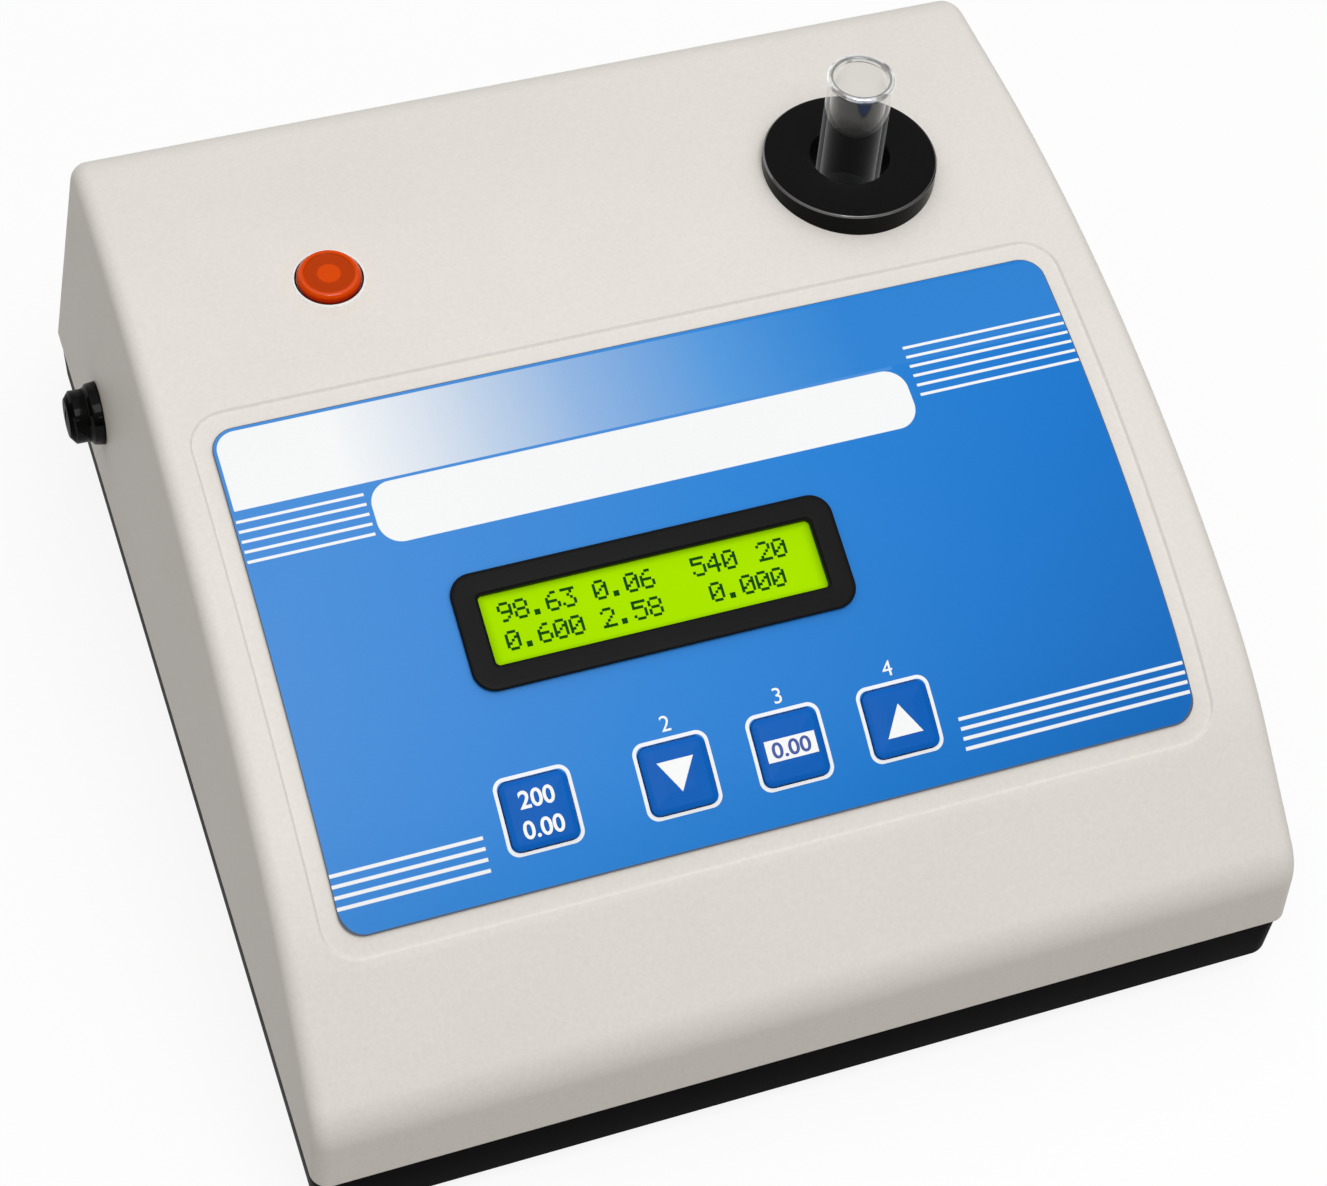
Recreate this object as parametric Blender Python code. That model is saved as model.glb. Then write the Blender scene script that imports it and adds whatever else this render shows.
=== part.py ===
"""Bench colorimeter with a sloping case, a label with keys and a display, and a sample well.

Axes: +X to the right of the user, +Y to the rear, +Z up. The origin is on the table, under the
middle of the whole object. Lengths are in metres, angles in radians.
"""
import math

import bmesh
import bpy
from mathutils import Matrix, Vector

for leftover in list(bpy.data.objects):
    bpy.data.objects.remove(leftover, do_unlink=True)

MM = 0.001
DEG = math.pi / 180

# Fits shared by all pieces
GAP = 0.3 * MM                    # air between two pieces that rest on each other
RUNNING_CLEARANCE = 0.4 * MM      # air round a piece that slides or is pushed in
OVERRUN = 6 * MM                  # how far a cutter reaches past what it cuts
COLLAR_SIDES = 48                 # facets of the widest turned piece
ROUND_SIDES = 32                  # facets of a large turned piece
MEDIUM_SIDES = 24                 # facets of a middling turned piece
SMALL_SIDES = 16                  # facets of a small turned piece
OUTER_EDGE_STEPS = 5              # facets across the cover's rounded side edges, outside
INNER_EDGE_STEPS = 3              # and inside
CORNER_STEPS = 4                  # facets of a rounded plan corner
BLOCK_RADIUS = 0.3 * MM           # plan corners of small moulded blocks
NOSE_STEPS = 6                    # facets along each arc of the cover's side outline
LOWER_BEND_STEPS = 5
UPPER_BEND_STEPS = 10
REAR_EDGE_STEPS = 6

# Case form
CASE_WIDTH = 252.6 * MM           # at the seam
CASE_DEPTH = 285 * MM             # at the seam
SEAM_HEIGHT = 22 * MM
NOSE_HEIGHT = 43.3 * MM           # where front wall and front slope would meet
SLOPE_RUN = 27 * MM               # depth of the straight front slope
FRONT_SLOPE = 42 * DEG
MID_SLOPE = 26.7 * DEG
LOWER_BEND_RADIUS = 122 * MM
LEVEL_RUN = 30 * MM               # level top, up to where it would meet the rear wall
FRONT_DRAFT = 3 * DEG
SIDE_DRAFT = 2.9 * DEG
REAR_DRAFT = 22 * DEG
NOSE_RADIUS = 16 * MM
REAR_EDGE_RADIUS = 12 * MM
SHOULDER_RADIUS = 8 * MM
CASE_WALL = 2.6 * MM
BOSS_SINK = 1 * MM                # how far a boss reaches into the cover's wall
BOSS_RADIUS = 4.5 * MM
PILOT_RADIUS = 1.8 * MM
PILOT_DEPTH = 18 * MM
SCREW_SIDE_INSET = 16 * MM        # case screws, from the side edge of the seam
SCREW_FRONT_INSET = 20 * MM
SCREW_REAR_INSET = 45 * MM

# Label, depths from the case's front edge at the seam
LABEL_LEFT_INSET = 17.3 * MM      # from the case's side at the seam
LABEL_RIGHT_INSET = 21.3 * MM
LABEL_FRONT = 32.8 * MM
LABEL_TO_WELL = 38.6 * MM         # from its rear edge to the well's axis
LABEL_RADIUS = 8 * MM
LABEL_THICKNESS = 0.5 * MM
RECESS_BORDER_SIDE = 3.8 * MM
RECESS_BORDER_FRONT = 6.3 * MM
RECESS_BORDER_REAR = 5.5 * MM
RECESS_DEPTH = 0.6 * MM
ROW_PITCH = 8 * MM                # spacing of the rows that follow the case's bends

# Display
DISPLAY_X = -17.6 * MM
DISPLAY_Y = 87.4 * MM
WINDOW_LENGTH = 83 * MM
WINDOW_HEIGHT = 17.4 * MM
WINDOW_RADIUS = 1.3 * MM
BEZEL_LENGTH = 95.4 * MM
BEZEL_HEIGHT = 29.2 * MM
BEZEL_RADIUS = 5.5 * MM
BEZEL_FLANGE = 1.1 * MM
BEZEL_CHAMFER = 0.5 * MM
BEZEL_LIP = 1.7 * MM              # thickness of the lip round the window
BEZEL_NECK_WALL = 2.6 * MM
BEZEL_NECK_DEPTH = 4 * MM
REBATE_MARGIN = 1.2 * MM
CELL_THICKNESS = 2 * MM
BACKLIGHT_MARGIN = 2.6 * MM
BACKLIGHT_THICKNESS = 3.6 * MM
BOARD_THICKNESS = 1.6 * MM
DISPLAY_BOARD_LENGTH = 116 * MM
DISPLAY_BOARD_HEIGHT = 37 * MM
POST_RADIUS = 2.6 * MM
POST_INSET = 4 * MM

# Keys
KEY_Y = 47.7 * MM
KEY_FIRST_X = -58.4 * MM          # the key that stands apart on the left
KEY_FIRST_STEP = 33.8 * MM
KEY_STEP = 28 * MM
KEY_SIZE = 16 * MM
KEY_RADIUS = 2.4 * MM
KEY_PROUD = 1.2 * MM
KEY_EDGE = 0.7 * MM
KEY_FLANGE_SIZE = 19 * MM
KEY_FLANGE_THICKNESS = 1.1 * MM
KEY_STEM_SIZE = 3 * MM
KEY_STEM_LENGTH = 2.2 * MM
SWITCH_SIZE = 6 * MM
SWITCH_HEIGHT = 3.6 * MM
SWITCH_BORE_DEPTH = 2.6 * MM
STEM_ENTRY = 0.8 * MM             # depth of the stem in the switch at rest
KEY_BOARD_MARGIN = 17 * MM
KEY_BOARD_HEIGHT = 22 * MM

# Sample tube, collar and well
WELL_RIGHT_INSET = 57.8 * MM      # from the case's side at the seam
WELL_REAR_INSET = 96.6 * MM       # from the case's rear edge at the seam
COLLAR_RADIUS = 22.4 * MM
COLLAR_RISE = 4 * MM
COLLAR_EDGE = 0.6 * MM
COLLAR_BORE_RADIUS = 10.3 * MM
COLLAR_BORE_DEPTH = 3.4 * MM
NECK_RADIUS = 14 * MM
NECK_DROP = 14 * MM               # from the collar's top to the neck's foot
TUBE_RADIUS = 8.25 * MM
TUBE_WALL = 1.2 * MM
TUBE_LENGTH = 100 * MM
TUBE_PROUD = 26.5 * MM              # above the collar
TUBE_LIP = 0.45 * MM
TUBE_LIP_HEIGHT = 1.4 * MM
BEAM_HEIGHT = 80 * MM
BEAM_RADIUS = 4 * MM
WELL_FOOT_RADIUS = 20 * MM
WELL_FOOT_THICKNESS = 4 * MM

# Indicator
INDICATOR_LEFT_INSET = 57 * MM
INDICATOR_REAR_INSET = 98.7 * MM
LENS_RADIUS = 8.05 * MM
LENS_SKIRT = 1.1 * MM             # below the case's surface
LENS_RISE = 2.3 * MM
LENS_RING = 2 * MM                # width of the lens's rounded rim
LENS_DISH = 0.5 * MM
INDICATOR_BODY_RADIUS = 6.6 * MM
INDICATOR_BODY_LENGTH = 19 * MM
INDICATOR_NUT_RADIUS = 11 * MM
NUT_THICKNESS = 3 * MM
NUT_SIDES = 6

# Fuse holder on the left wall
FUSE_REAR_INSET = 64.2 * MM
FUSE_HEIGHT = 52.4 * MM
FUSE_FLANGE_RADIUS = 8.6 * MM
FUSE_FLANGE_THICKNESS = 3.6 * MM
FUSE_SHOULDER = 1.5 * MM
FUSE_BARREL_RADIUS = 6 * MM
FUSE_BARREL_LENGTH = 31 * MM
FUSE_CAP_RADIUS = 6.6 * MM
FUSE_CAP_LENGTH = 3.6 * MM
FUSE_CAP_DOME = 1.3 * MM
FUSE_SLOT_WIDTH = 1.3 * MM
FUSE_SLOT_DEPTH = 1.1 * MM
FUSE_SLOT_LENGTH = 6 * MM
FUSE_STEM_RADIUS = 4.4 * MM
FUSE_STEM_LENGTH = 4 * MM
FUSE_RADIUS = 2.6 * MM
FUSE_LENGTH = 20 * MM
FUSE_NUT_RADIUS = 9 * MM

# Rear wall: mains inlet and power switch
REAR_FITTING_HEIGHT = 62 * MM
INLET_RIGHT_INSET = 60.3 * MM
INLET_FLANGE_LENGTH = 50 * MM
INLET_FLANGE_HEIGHT = 24 * MM
INLET_FLANGE_THICKNESS = 3 * MM
INLET_BODY_LENGTH = 29 * MM
INLET_BODY_HEIGHT = 21 * MM
INLET_BODY_DEPTH = 20 * MM
INLET_SOCKET_LENGTH = 24.4 * MM
INLET_SOCKET_HEIGHT = 16.6 * MM
INLET_SOCKET_DEPTH = 18 * MM
INLET_CORNER = 3 * MM
PIN_LENGTH = 11 * MM
PIN_WIDTH = 2 * MM
PIN_HEIGHT = 4 * MM
PIN_SPREAD = 7 * MM
PIN_DROP = 2 * MM
INLET_SCREW_SPACING = 40 * MM
INLET_SCREW_RADIUS = 1.5 * MM
INLET_SCREW_HEAD = 2.8 * MM
INLET_SCREW_LENGTH = 9 * MM
HEAD_THICKNESS = 1.6 * MM
SWITCH_RIGHT_INSET = 112.3 * MM
ROCKER_FRAME_LENGTH = 21 * MM
ROCKER_FRAME_HEIGHT = 15 * MM
ROCKER_FRAME_PROUD = 2 * MM
ROCKER_FRAME_DEPTH = 15 * MM
ROCKER_FRAME_WALL = 1.6 * MM
ROCKER_POCKET = 9 * MM
ROCKER_TILT = 8 * DEG
ROCKER_CREST = 2 * MM             # how far each end of the rocker rises over its waist
ROCKER_DROP = 3 * MM              # depth of the rocker's sides below its axis

# Base tray and feet
FOOT_HEIGHT = 5.7 * MM
FOOT_RADIUS = 8 * MM
FOOT_INSET = 32 * MM
FOOT_EDGE = 0.5 * MM
TRAY_TOP_INSET = 0.4 * MM
TRAY_FOOT_INSET = 0.7 * MM
TRAY_EDGE = 0.6 * MM
TRAY_FLOOR = 2.6 * MM
TRAY_RADIUS = 6.5 * MM
TONGUE_HEIGHT = 3.6 * MM
TONGUE_WALL = 1.8 * MM            # from the tongue's face to the tray's hollow
STANDOFF_RADIUS = 3.6 * MM
CASE_SCREW_RADIUS = 1.5 * MM
CASE_SCREW_HEAD_RADIUS = 3 * MM
CASE_SCREW_HEAD = 2 * MM
CASE_SCREW_BITE = 9 * MM
COUNTERBORE_RADIUS = 3.6 * MM
COUNTERBORE_DEPTH = 2.6 * MM

# Inside: boards, transformer and optics
MAIN_BOARD_LENGTH = 150 * MM
MAIN_BOARD_WIDTH = 84 * MM
MAIN_BOARD_X = -15 * MM
BOARD_TO_BENCH = 3 * MM
MAIN_BOARD_HEIGHT = 14 * MM
MAIN_BOARD_HOLE_INSET = 6 * MM
CORE_LENGTH = 48 * MM
CORE_HEIGHT = 40 * MM
CORE_THICKNESS = 16 * MM
CORE_LEG = 8 * MM
CORE_LEFT_INSET = 56.3 * MM
CORE_REAR_INSET = 113 * MM
COIL_DEPTH = 30 * MM
BENCH_LENGTH = 128 * MM
BENCH_WIDTH = 70 * MM
BENCH_THICKNESS = 3 * MM
BENCH_HEIGHT = 24 * MM            # top of the plate
BENCH_OFFSET = 18.5 * MM          # the bench's middle lies this far left of the well
BENCH_HOLE_INSET = 7 * MM
UPRIGHT_THICKNESS = 3 * MM
UPRIGHT_WIDTH = 16 * MM
WHEEL_RADIUS = 27 * MM
WHEEL_THICKNESS = 3 * MM
WHEEL_PITCH_RADIUS = 20 * MM
WHEEL_STANDOFF = 12 * MM          # from the well's wall to the wheel
HUB_RADIUS = 5 * MM
HUB_LENGTH = 7 * MM
SHAFT_RADIUS = 1.5 * MM
FILTER_COUNT = 6
FILTER_RADIUS = 5 * MM
FILTER_THICKNESS = 2 * MM
MOTOR_RADIUS = 10 * MM
MOTOR_LENGTH = 12 * MM
MOTOR_CLEARANCE = 3.4 * MM        # from the motor's bracket to the wheel's hub
CONDENSER_RADIUS = 6.2 * MM
CONDENSER_EDGE = 2 * MM
CONDENSER_BULGE = 1.4 * MM
HOLDER_THICKNESS = 4 * MM
BULB_RADIUS = 5 * MM
BULB_LENGTH = 14 * MM
SOCKET_RADIUS = 6 * MM
SOCKET_LENGTH = 8 * MM
BULB_TO_LENS = 4 * MM
DETECTOR_RADIUS = 4.1 * MM
DETECTOR_LENGTH = 4.2 * MM
DETECTOR_BOARD_SIZE = 26 * MM

# Derived places
FRONT_Y = -CASE_DEPTH / 2
LABEL_LEFT = LABEL_LEFT_INSET - CASE_WIDTH / 2
LABEL_RIGHT = CASE_WIDTH / 2 - LABEL_RIGHT_INSET
WELL_X = CASE_WIDTH / 2 - WELL_RIGHT_INSET
WELL_Y = CASE_DEPTH - WELL_REAR_INSET
LABEL_REAR = WELL_Y - LABEL_TO_WELL
INDICATOR_X = INDICATOR_LEFT_INSET - CASE_WIDTH / 2
INDICATOR_Y = CASE_DEPTH - INDICATOR_REAR_INSET
FUSE_Y = CASE_DEPTH - FUSE_REAR_INSET
INLET_X = CASE_WIDTH / 2 - INLET_RIGHT_INSET
SWITCH_X = CASE_WIDTH / 2 - SWITCH_RIGHT_INSET
CORE_X = CORE_LEFT_INSET - CASE_WIDTH / 2
CORE_Y = CASE_DEPTH - CORE_REAR_INSET
BENCH_X = WELL_X - BENCH_OFFSET
MAIN_BOARD_Y = WELL_Y - (BENCH_WIDTH + MAIN_BOARD_WIDTH) / 2 - BOARD_TO_BENCH
FUSE_REACH = FUSE_FLANGE_THICKNESS + FUSE_CAP_LENGTH + FUSE_CAP_DOME + 2 * GAP
WALL_LEAN = math.tan(SIDE_DRAFT) * (FUSE_HEIGHT - SEAM_HEIGHT)
LEFT_OVERHANG = (FUSE_REACH * math.cos(SIDE_DRAFT)) - WALL_LEAN
CASE_X = LEFT_OVERHANG / 2        # the case's middle line, so that the whole object is centred


def material(name, colour, roughness, metallic=0.0, alpha=1.0):
    """A plain Principled material."""
    made = bpy.data.materials.new(name)
    made.use_nodes = True
    shader = made.node_tree.nodes["Principled BSDF"]
    shader.inputs["Base Color"].default_value = (*colour, 1.0)
    shader.inputs["Roughness"].default_value = roughness
    shader.inputs["Metallic"].default_value = metallic
    shader.inputs["Alpha"].default_value = alpha
    return made


SHELL_PLASTIC = material("shell_plastic", (0.76, 0.74, 0.70), 0.5)
BLACK_PLASTIC = material("black_plastic", (0.02, 0.02, 0.02), 0.45)
GLOSS_BLACK = material("gloss_black", (0.012, 0.012, 0.013), 0.2)
LABEL_FILM = material("label_film", (0.06, 0.26, 0.70), 0.4)
KEY_FILM = material("key_film", (0.01, 0.09, 0.38), 0.4)
CELL_GLASS = material("cell_glass", (0.45, 0.86, 0.01), 0.2)
CLEAR_GLASS = material("clear_glass", (0.95, 0.97, 0.97), 0.03, alpha=0.25)
ORANGE_LENS = material("orange_lens", (0.70, 0.07, 0.01), 0.15)
RUBBER = material("rubber", (0.03, 0.03, 0.03), 0.85)
STEEL = material("steel", (0.62, 0.62, 0.63), 0.3, metallic=1.0)
ALUMINIUM = material("aluminium", (0.7, 0.71, 0.72), 0.38, metallic=1.0)
COPPER = material("copper", (0.72, 0.35, 0.18), 0.4, metallic=1.0)
BOARD = material("board", (0.03, 0.18, 0.06), 0.5)
WHITE_PLASTIC = material("white_plastic", (0.85, 0.85, 0.83), 0.5)


def make(name, mesh_data, finish, place=None):
    """Turn a bmesh into a named object with outward faces, at the place given by a matrix."""
    bmesh.ops.recalc_face_normals(mesh_data, faces=mesh_data.faces)
    mesh = bpy.data.meshes.new(name)
    mesh_data.to_mesh(mesh)
    mesh_data.free()
    thing = bpy.data.objects.new(name, mesh)
    bpy.context.scene.collection.objects.link(thing)
    if finish is not None:
        mesh.materials.append(finish)
    mesh.shade_smooth()
    mesh.set_sharp_from_angle(angle=30 * DEG)
    if place is not None:
        thing.matrix_world = place
    return thing


def cutter(name, mesh_data, place=None):
    """An object that only shapes others: it is kept out of the model."""
    thing = make(name, mesh_data, None, place)
    thing.hide_render = True
    thing.display_type = "WIRE"
    return thing


def combine(target, tool, operation="DIFFERENCE"):
    """Cut, join or intersect the target with the tool."""
    step = target.modifiers.new(tool.name, "BOOLEAN")
    step.operation = operation
    step.solver = "EXACT"
    step.object = tool
    return target


def turned(profile, sides=ROUND_SIDES, ring=False):
    """A body of revolution about Z from (radius, height) points. A ring's profile is closed."""
    body = bmesh.new()
    rings = []
    for radius, height in profile:
        if radius == 0:
            rings.append([body.verts.new((0, 0, height))] * sides)
            continue
        turns = [2 * math.pi * side / sides for side in range(sides)]
        rings.append([body.verts.new((radius * math.cos(a), radius * math.sin(a), height))
                      for a in turns])
    following = rings[1:] + (rings[:1] if ring else [])
    for low, high in zip(rings, following):
        for side in range(sides):
            after = (side + 1) % sides
            corners = []
            for corner in (low[side], low[after], high[after], high[side]):
                if corner not in corners:
                    corners.append(corner)
            body.faces.new(corners)
    if not ring:
        for end in (rings[0], rings[-1]):
            if end[0] is not end[1]:
                body.faces.new(end)
    return body


def rounded_rectangle(half_x, half_y, radius, middle=(0, 0), steps=CORNER_STEPS):
    """Plan points of a rectangle with round corners, counter-clockwise."""
    points = []
    for quarter, (side_x, side_y) in enumerate(((1, 1), (-1, 1), (-1, -1), (1, -1))):
        centre_x = middle[0] + side_x * (half_x - radius)
        centre_y = middle[1] + side_y * (half_y - radius)
        for step in range(steps + 1):
            angle = (quarter + step / steps) * math.pi / 2
            points.append((centre_x + radius * math.cos(angle), centre_y + radius * math.sin(angle)))
    return points


def lofted(sections):
    """A solid skinned over sections of the same number of plan points: (points, height)."""
    body = bmesh.new()
    rings = [[body.verts.new((x, y, height)) for x, y in points] for points, height in sections]
    for low, high in zip(rings, rings[1:]):
        for side in range(len(low)):
            after = (side + 1) % len(low)
            body.faces.new((low[side], low[after], high[after], high[side]))
    body.faces.new(rings[0])
    body.faces.new(rings[-1])
    return body


def slab(half_x, half_y, bottom, top, radius, middle=(0, 0)):
    """A plate with round plan corners."""
    outline = rounded_rectangle(half_x, half_y, radius, middle)
    return lofted([(outline, bottom), (outline, top)])


def box(low, high):
    """A plain block between two corners."""
    body = bmesh.new()
    bmesh.ops.create_cube(body, size=1)
    size = Vector(high) - Vector(low)
    bmesh.ops.scale(body, vec=size, verts=body.verts)
    bmesh.ops.translate(body, vec=(Vector(high) + Vector(low)) / 2, verts=body.verts)
    return body


def rod(radius, bottom, top, sides=SMALL_SIDES):
    """A plain round bar along Z."""
    return turned([(radius, bottom), (radius, top)], sides)


def merged(bodies):
    """Several separate bodies in one mesh, for use as one cutter."""
    whole = bmesh.new()
    for body in bodies:
        piece = bpy.data.meshes.new("piece")
        body.to_mesh(piece)
        body.free()
        whole.from_mesh(piece)
        bpy.data.meshes.remove(piece)
    return whole


def moved(body, matrix):
    """The same bmesh, carried by a matrix."""
    bmesh.ops.transform(body, matrix=matrix, verts=body.verts)
    return body


def direction(angle):
    """Unit vector in the YZ plane, as (y, z)."""
    return Vector((math.cos(angle), math.sin(angle)))


def fillet_centre(corner, radius, first, second):
    """Centre of the arc that rounds a corner between two faces with the given normals."""
    return corner - (first + second) * radius / (1 + first.dot(second))


# Side outline of the case: straight walls, nose, front slope, two bends, level top, rear edge
FRONT_NORMAL = math.pi - FRONT_DRAFT
SLOPE_NORMAL = math.pi / 2 + FRONT_SLOPE
MID_NORMAL = math.pi / 2 + MID_SLOPE
LEVEL_NORMAL = math.pi / 2
REAR_NORMAL = REAR_DRAFT
NOSE_CORNER = Vector((FRONT_Y + math.tan(FRONT_DRAFT) * (NOSE_HEIGHT - SEAM_HEIGHT), NOSE_HEIGHT))
NOSE_CENTRE = fillet_centre(NOSE_CORNER, NOSE_RADIUS, direction(FRONT_NORMAL), direction(SLOPE_NORMAL))
SLOPE_END = Vector((FRONT_Y + SLOPE_RUN,
                    NOSE_HEIGHT + math.tan(FRONT_SLOPE) * (FRONT_Y + SLOPE_RUN - NOSE_CORNER.x)))
LOWER_CENTRE = SLOPE_END - direction(SLOPE_NORMAL) * LOWER_BEND_RADIUS
LOWER_END = LOWER_CENTRE + direction(MID_NORMAL) * LOWER_BEND_RADIUS
REAR_SLANT = math.tan(REAR_DRAFT)
UPPER_RUN = -FRONT_Y - LEVEL_RUN - LOWER_END.x - REAR_SLANT * (LOWER_END.y - SEAM_HEIGHT)
UPPER_BEND_RADIUS = UPPER_RUN / (math.sin(MID_SLOPE) + REAR_SLANT * (1 - math.cos(MID_SLOPE)))
UPPER_CENTRE = LOWER_END - direction(MID_NORMAL) * UPPER_BEND_RADIUS
CASE_TOP = UPPER_CENTRE.y + UPPER_BEND_RADIUS
REAR_CORNER = Vector((-FRONT_Y - REAR_SLANT * (CASE_TOP - SEAM_HEIGHT), CASE_TOP))
REAR_CENTRE = fillet_centre(REAR_CORNER, REAR_EDGE_RADIUS, direction(LEVEL_NORMAL), direction(REAR_NORMAL))
OUTLINE_ARCS = [(NOSE_CENTRE, NOSE_RADIUS, FRONT_NORMAL, SLOPE_NORMAL, NOSE_STEPS),
                (LOWER_CENTRE, LOWER_BEND_RADIUS, SLOPE_NORMAL, MID_NORMAL, LOWER_BEND_STEPS),
                (UPPER_CENTRE, UPPER_BEND_RADIUS, MID_NORMAL, LEVEL_NORMAL, UPPER_BEND_STEPS),
                (REAR_CENTRE, REAR_EDGE_RADIUS, LEVEL_NORMAL, REAR_NORMAL, REAR_EDGE_STEPS)]


def case_outline(inset):
    """(y, z) points of the side outline, moved inwards by inset, from front foot to rear foot."""
    spots = [(Vector((FRONT_Y, SEAM_HEIGHT)), direction(FRONT_NORMAL))]
    for centre, radius, start, end, steps in OUTLINE_ARCS:
        first_step = 0 if radius in (NOSE_RADIUS, REAR_EDGE_RADIUS) else 1
        for step in range(first_step, steps + 1):
            normal = direction(start + (end - start) * step / steps)
            spots.append((centre + normal * radius, normal))
    spots.append((Vector((-FRONT_Y, SEAM_HEIGHT)), direction(REAR_NORMAL)))
    return [spot - normal * inset for spot, normal in spots]


def top_at(y):
    """Height and slope of the case's top surface at a depth y."""
    if y < SLOPE_END.x:
        return SLOPE_END.y - math.tan(FRONT_SLOPE) * (SLOPE_END.x - y), FRONT_SLOPE
    for centre, radius, end_y in ((LOWER_CENTRE, LOWER_BEND_RADIUS, LOWER_END.x),
                                  (UPPER_CENTRE, UPPER_BEND_RADIUS, UPPER_CENTRE.x)):
        if y < end_y:
            angle = math.acos((y - centre.x) / radius)
            return centre.y + radius * math.sin(angle), angle - math.pi / 2
    return CASE_TOP, 0.0


def half_width(height, inset):
    """Half the case's width at a height, moved inwards by inset."""
    return CASE_WIDTH / 2 - math.tan(SIDE_DRAFT) * (height - SEAM_HEIGHT) - inset / math.cos(SIDE_DRAFT)


def case_solid(inset, drop=0.0, edge_steps=INNER_EDGE_STEPS):
    """The case's form moved inwards by inset, with its foot lower by drop."""
    rows = case_outline(inset)
    if drop:
        rows[0] += (rows[0] - rows[1]).normalized() * drop
        rows[-1] += (rows[-1] - rows[-2]).normalized() * drop
    body = bmesh.new()
    left = [body.verts.new((CASE_X - half_width(row.y, inset), row.x, row.y)) for row in rows]
    right = [body.verts.new((CASE_X + half_width(row.y, inset), row.x, row.y)) for row in rows]
    for index in range(len(rows)):
        after = (index + 1) % len(rows)
        body.faces.new((left[index], right[index], right[after], left[after]))
    body.faces.new(left)
    body.faces.new(right)
    rims = []
    for side in (left, right):
        rims += [body.edges.get(pair) for pair in zip(side, side[1:])]
    bmesh.ops.recalc_face_normals(body, faces=body.faces)
    bmesh.ops.bevel(body, geom=rims, offset=SHOULDER_RADIUS - inset, offset_type="OFFSET",
                    segments=edge_steps, profile=0.5, affect="EDGES", clamp_overlap=False)
    return body


def on_case(x, y, height=0.0):
    """A frame on the top surface, Z along its normal, at case coordinates from the front edge."""
    depth = FRONT_Y + y
    rise, slope = top_at(depth)
    turn = Matrix.Rotation(slope, 4, "X")
    return Matrix.Translation((CASE_X + x, depth, rise)) @ turn @ Matrix.Translation((0, 0, height))


def wrapped_slab(outline, bottom, top):
    """A plan outline made into a sheet that follows the top surface between two heights."""
    body = bmesh.new()
    body.faces.new([body.verts.new((x, y, 0)) for x, y in outline])
    lowest = min(y for _, y in outline)
    row = math.floor((lowest - FRONT_Y) / ROW_PITCH) + 1
    while FRONT_Y + row * ROW_PITCH < max(y for _, y in outline):
        line = FRONT_Y + row * ROW_PITCH
        bmesh.ops.bisect_plane(body, geom=body.verts[:] + body.edges[:] + body.faces[:],
                               plane_co=(0, line, 0), plane_no=(0, 1, 0))
        row += 1
    lower = body.verts[:]
    grown = bmesh.ops.extrude_face_region(body, geom=body.faces[:], use_keep_orig=True)
    upper = [item for item in grown["geom"] if isinstance(item, bmesh.types.BMVert)]
    for verts, height in ((lower, bottom), (upper, top)):
        for vert in verts:
            rise, slope = top_at(vert.co.y)
            vert.co = (vert.co.x, vert.co.y - height * math.sin(slope), rise + height * math.cos(slope))
    return body


def label_outline(side=0.0, front=0.0, rear=0.0, radius=LABEL_RADIUS):
    """Plan outline of the label, grown by the borders given."""
    half_x = (LABEL_RIGHT - LABEL_LEFT) / 2 + side
    low, high = LABEL_FRONT - front, LABEL_REAR + rear
    middle = (CASE_X + (LABEL_LEFT + LABEL_RIGHT) / 2, FRONT_Y + (low + high) / 2)
    return rounded_rectangle(half_x, (high - low) / 2, radius, middle)


DISPLAY_FRAME = on_case(DISPLAY_X, DISPLAY_Y)
KEY_XS = [KEY_FIRST_X] + [KEY_FIRST_X + KEY_FIRST_STEP + KEY_STEP * index for index in range(3)]
KEY_NAMES = ["key_set", "key_down", "key_zero", "key_up"]
KEY_ROW = on_case(0, KEY_Y)
INDICATOR_FRAME = on_case(INDICATOR_X, INDICATOR_Y)
LABEL_TOP = LABEL_THICKNESS + GAP - RECESS_DEPTH      # above the case's surface
KEY_CUT = KEY_SIZE / 2 + RUNNING_CLEARANCE
WELL_MIDDLE = Vector((CASE_X + WELL_X, FRONT_Y + WELL_Y))
COLLAR_TOP = top_at(WELL_MIDDLE.y)[0] + COLLAR_RISE
TUBE_TOP = COLLAR_TOP + TUBE_PROUD
TUBE_FOOT = TUBE_TOP - TUBE_LENGTH
WELL_TOP = COLLAR_TOP - NECK_DROP - GAP
WELL_BORE = TUBE_RADIUS + RUNNING_CLEARANCE
WELL_AXIS = Matrix.Translation((WELL_MIDDLE.x, WELL_MIDDLE.y, 0))
TRAY_BOTTOM = FOOT_HEIGHT + GAP
FLOOR_TOP = TRAY_BOTTOM + TRAY_FLOOR
SCREW_SPOTS = [(CASE_X + side * (CASE_WIDTH / 2 - SCREW_SIDE_INSET), y)
               for y in (FRONT_Y + SCREW_FRONT_INSET, -FRONT_Y - SCREW_REAR_INSET) for side in (-1, 1)]


def wall_frame(x, y, z, tilt_axis, tilt):
    """A frame whose Z points out of a side or rear wall."""
    return Matrix.Translation((x, y, z)) @ Matrix.Rotation(tilt, 4, tilt_axis)


FUSE_FRAME = wall_frame(CASE_X - half_width(FUSE_HEIGHT, 0), FRONT_Y + FUSE_Y, FUSE_HEIGHT,
                        "Y", SIDE_DRAFT - math.pi / 2)
REAR_WALL_Y = -FRONT_Y - REAR_SLANT * (REAR_FITTING_HEIGHT - SEAM_HEIGHT)


def rear_frame(x):
    """A frame on the rear wall, Z outwards, Y up the wall."""
    return wall_frame(CASE_X + x, REAR_WALL_Y, REAR_FITTING_HEIGHT, "X", REAR_DRAFT - math.pi / 2) \
        @ Matrix.Rotation(math.pi, 4, "Z")


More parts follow.
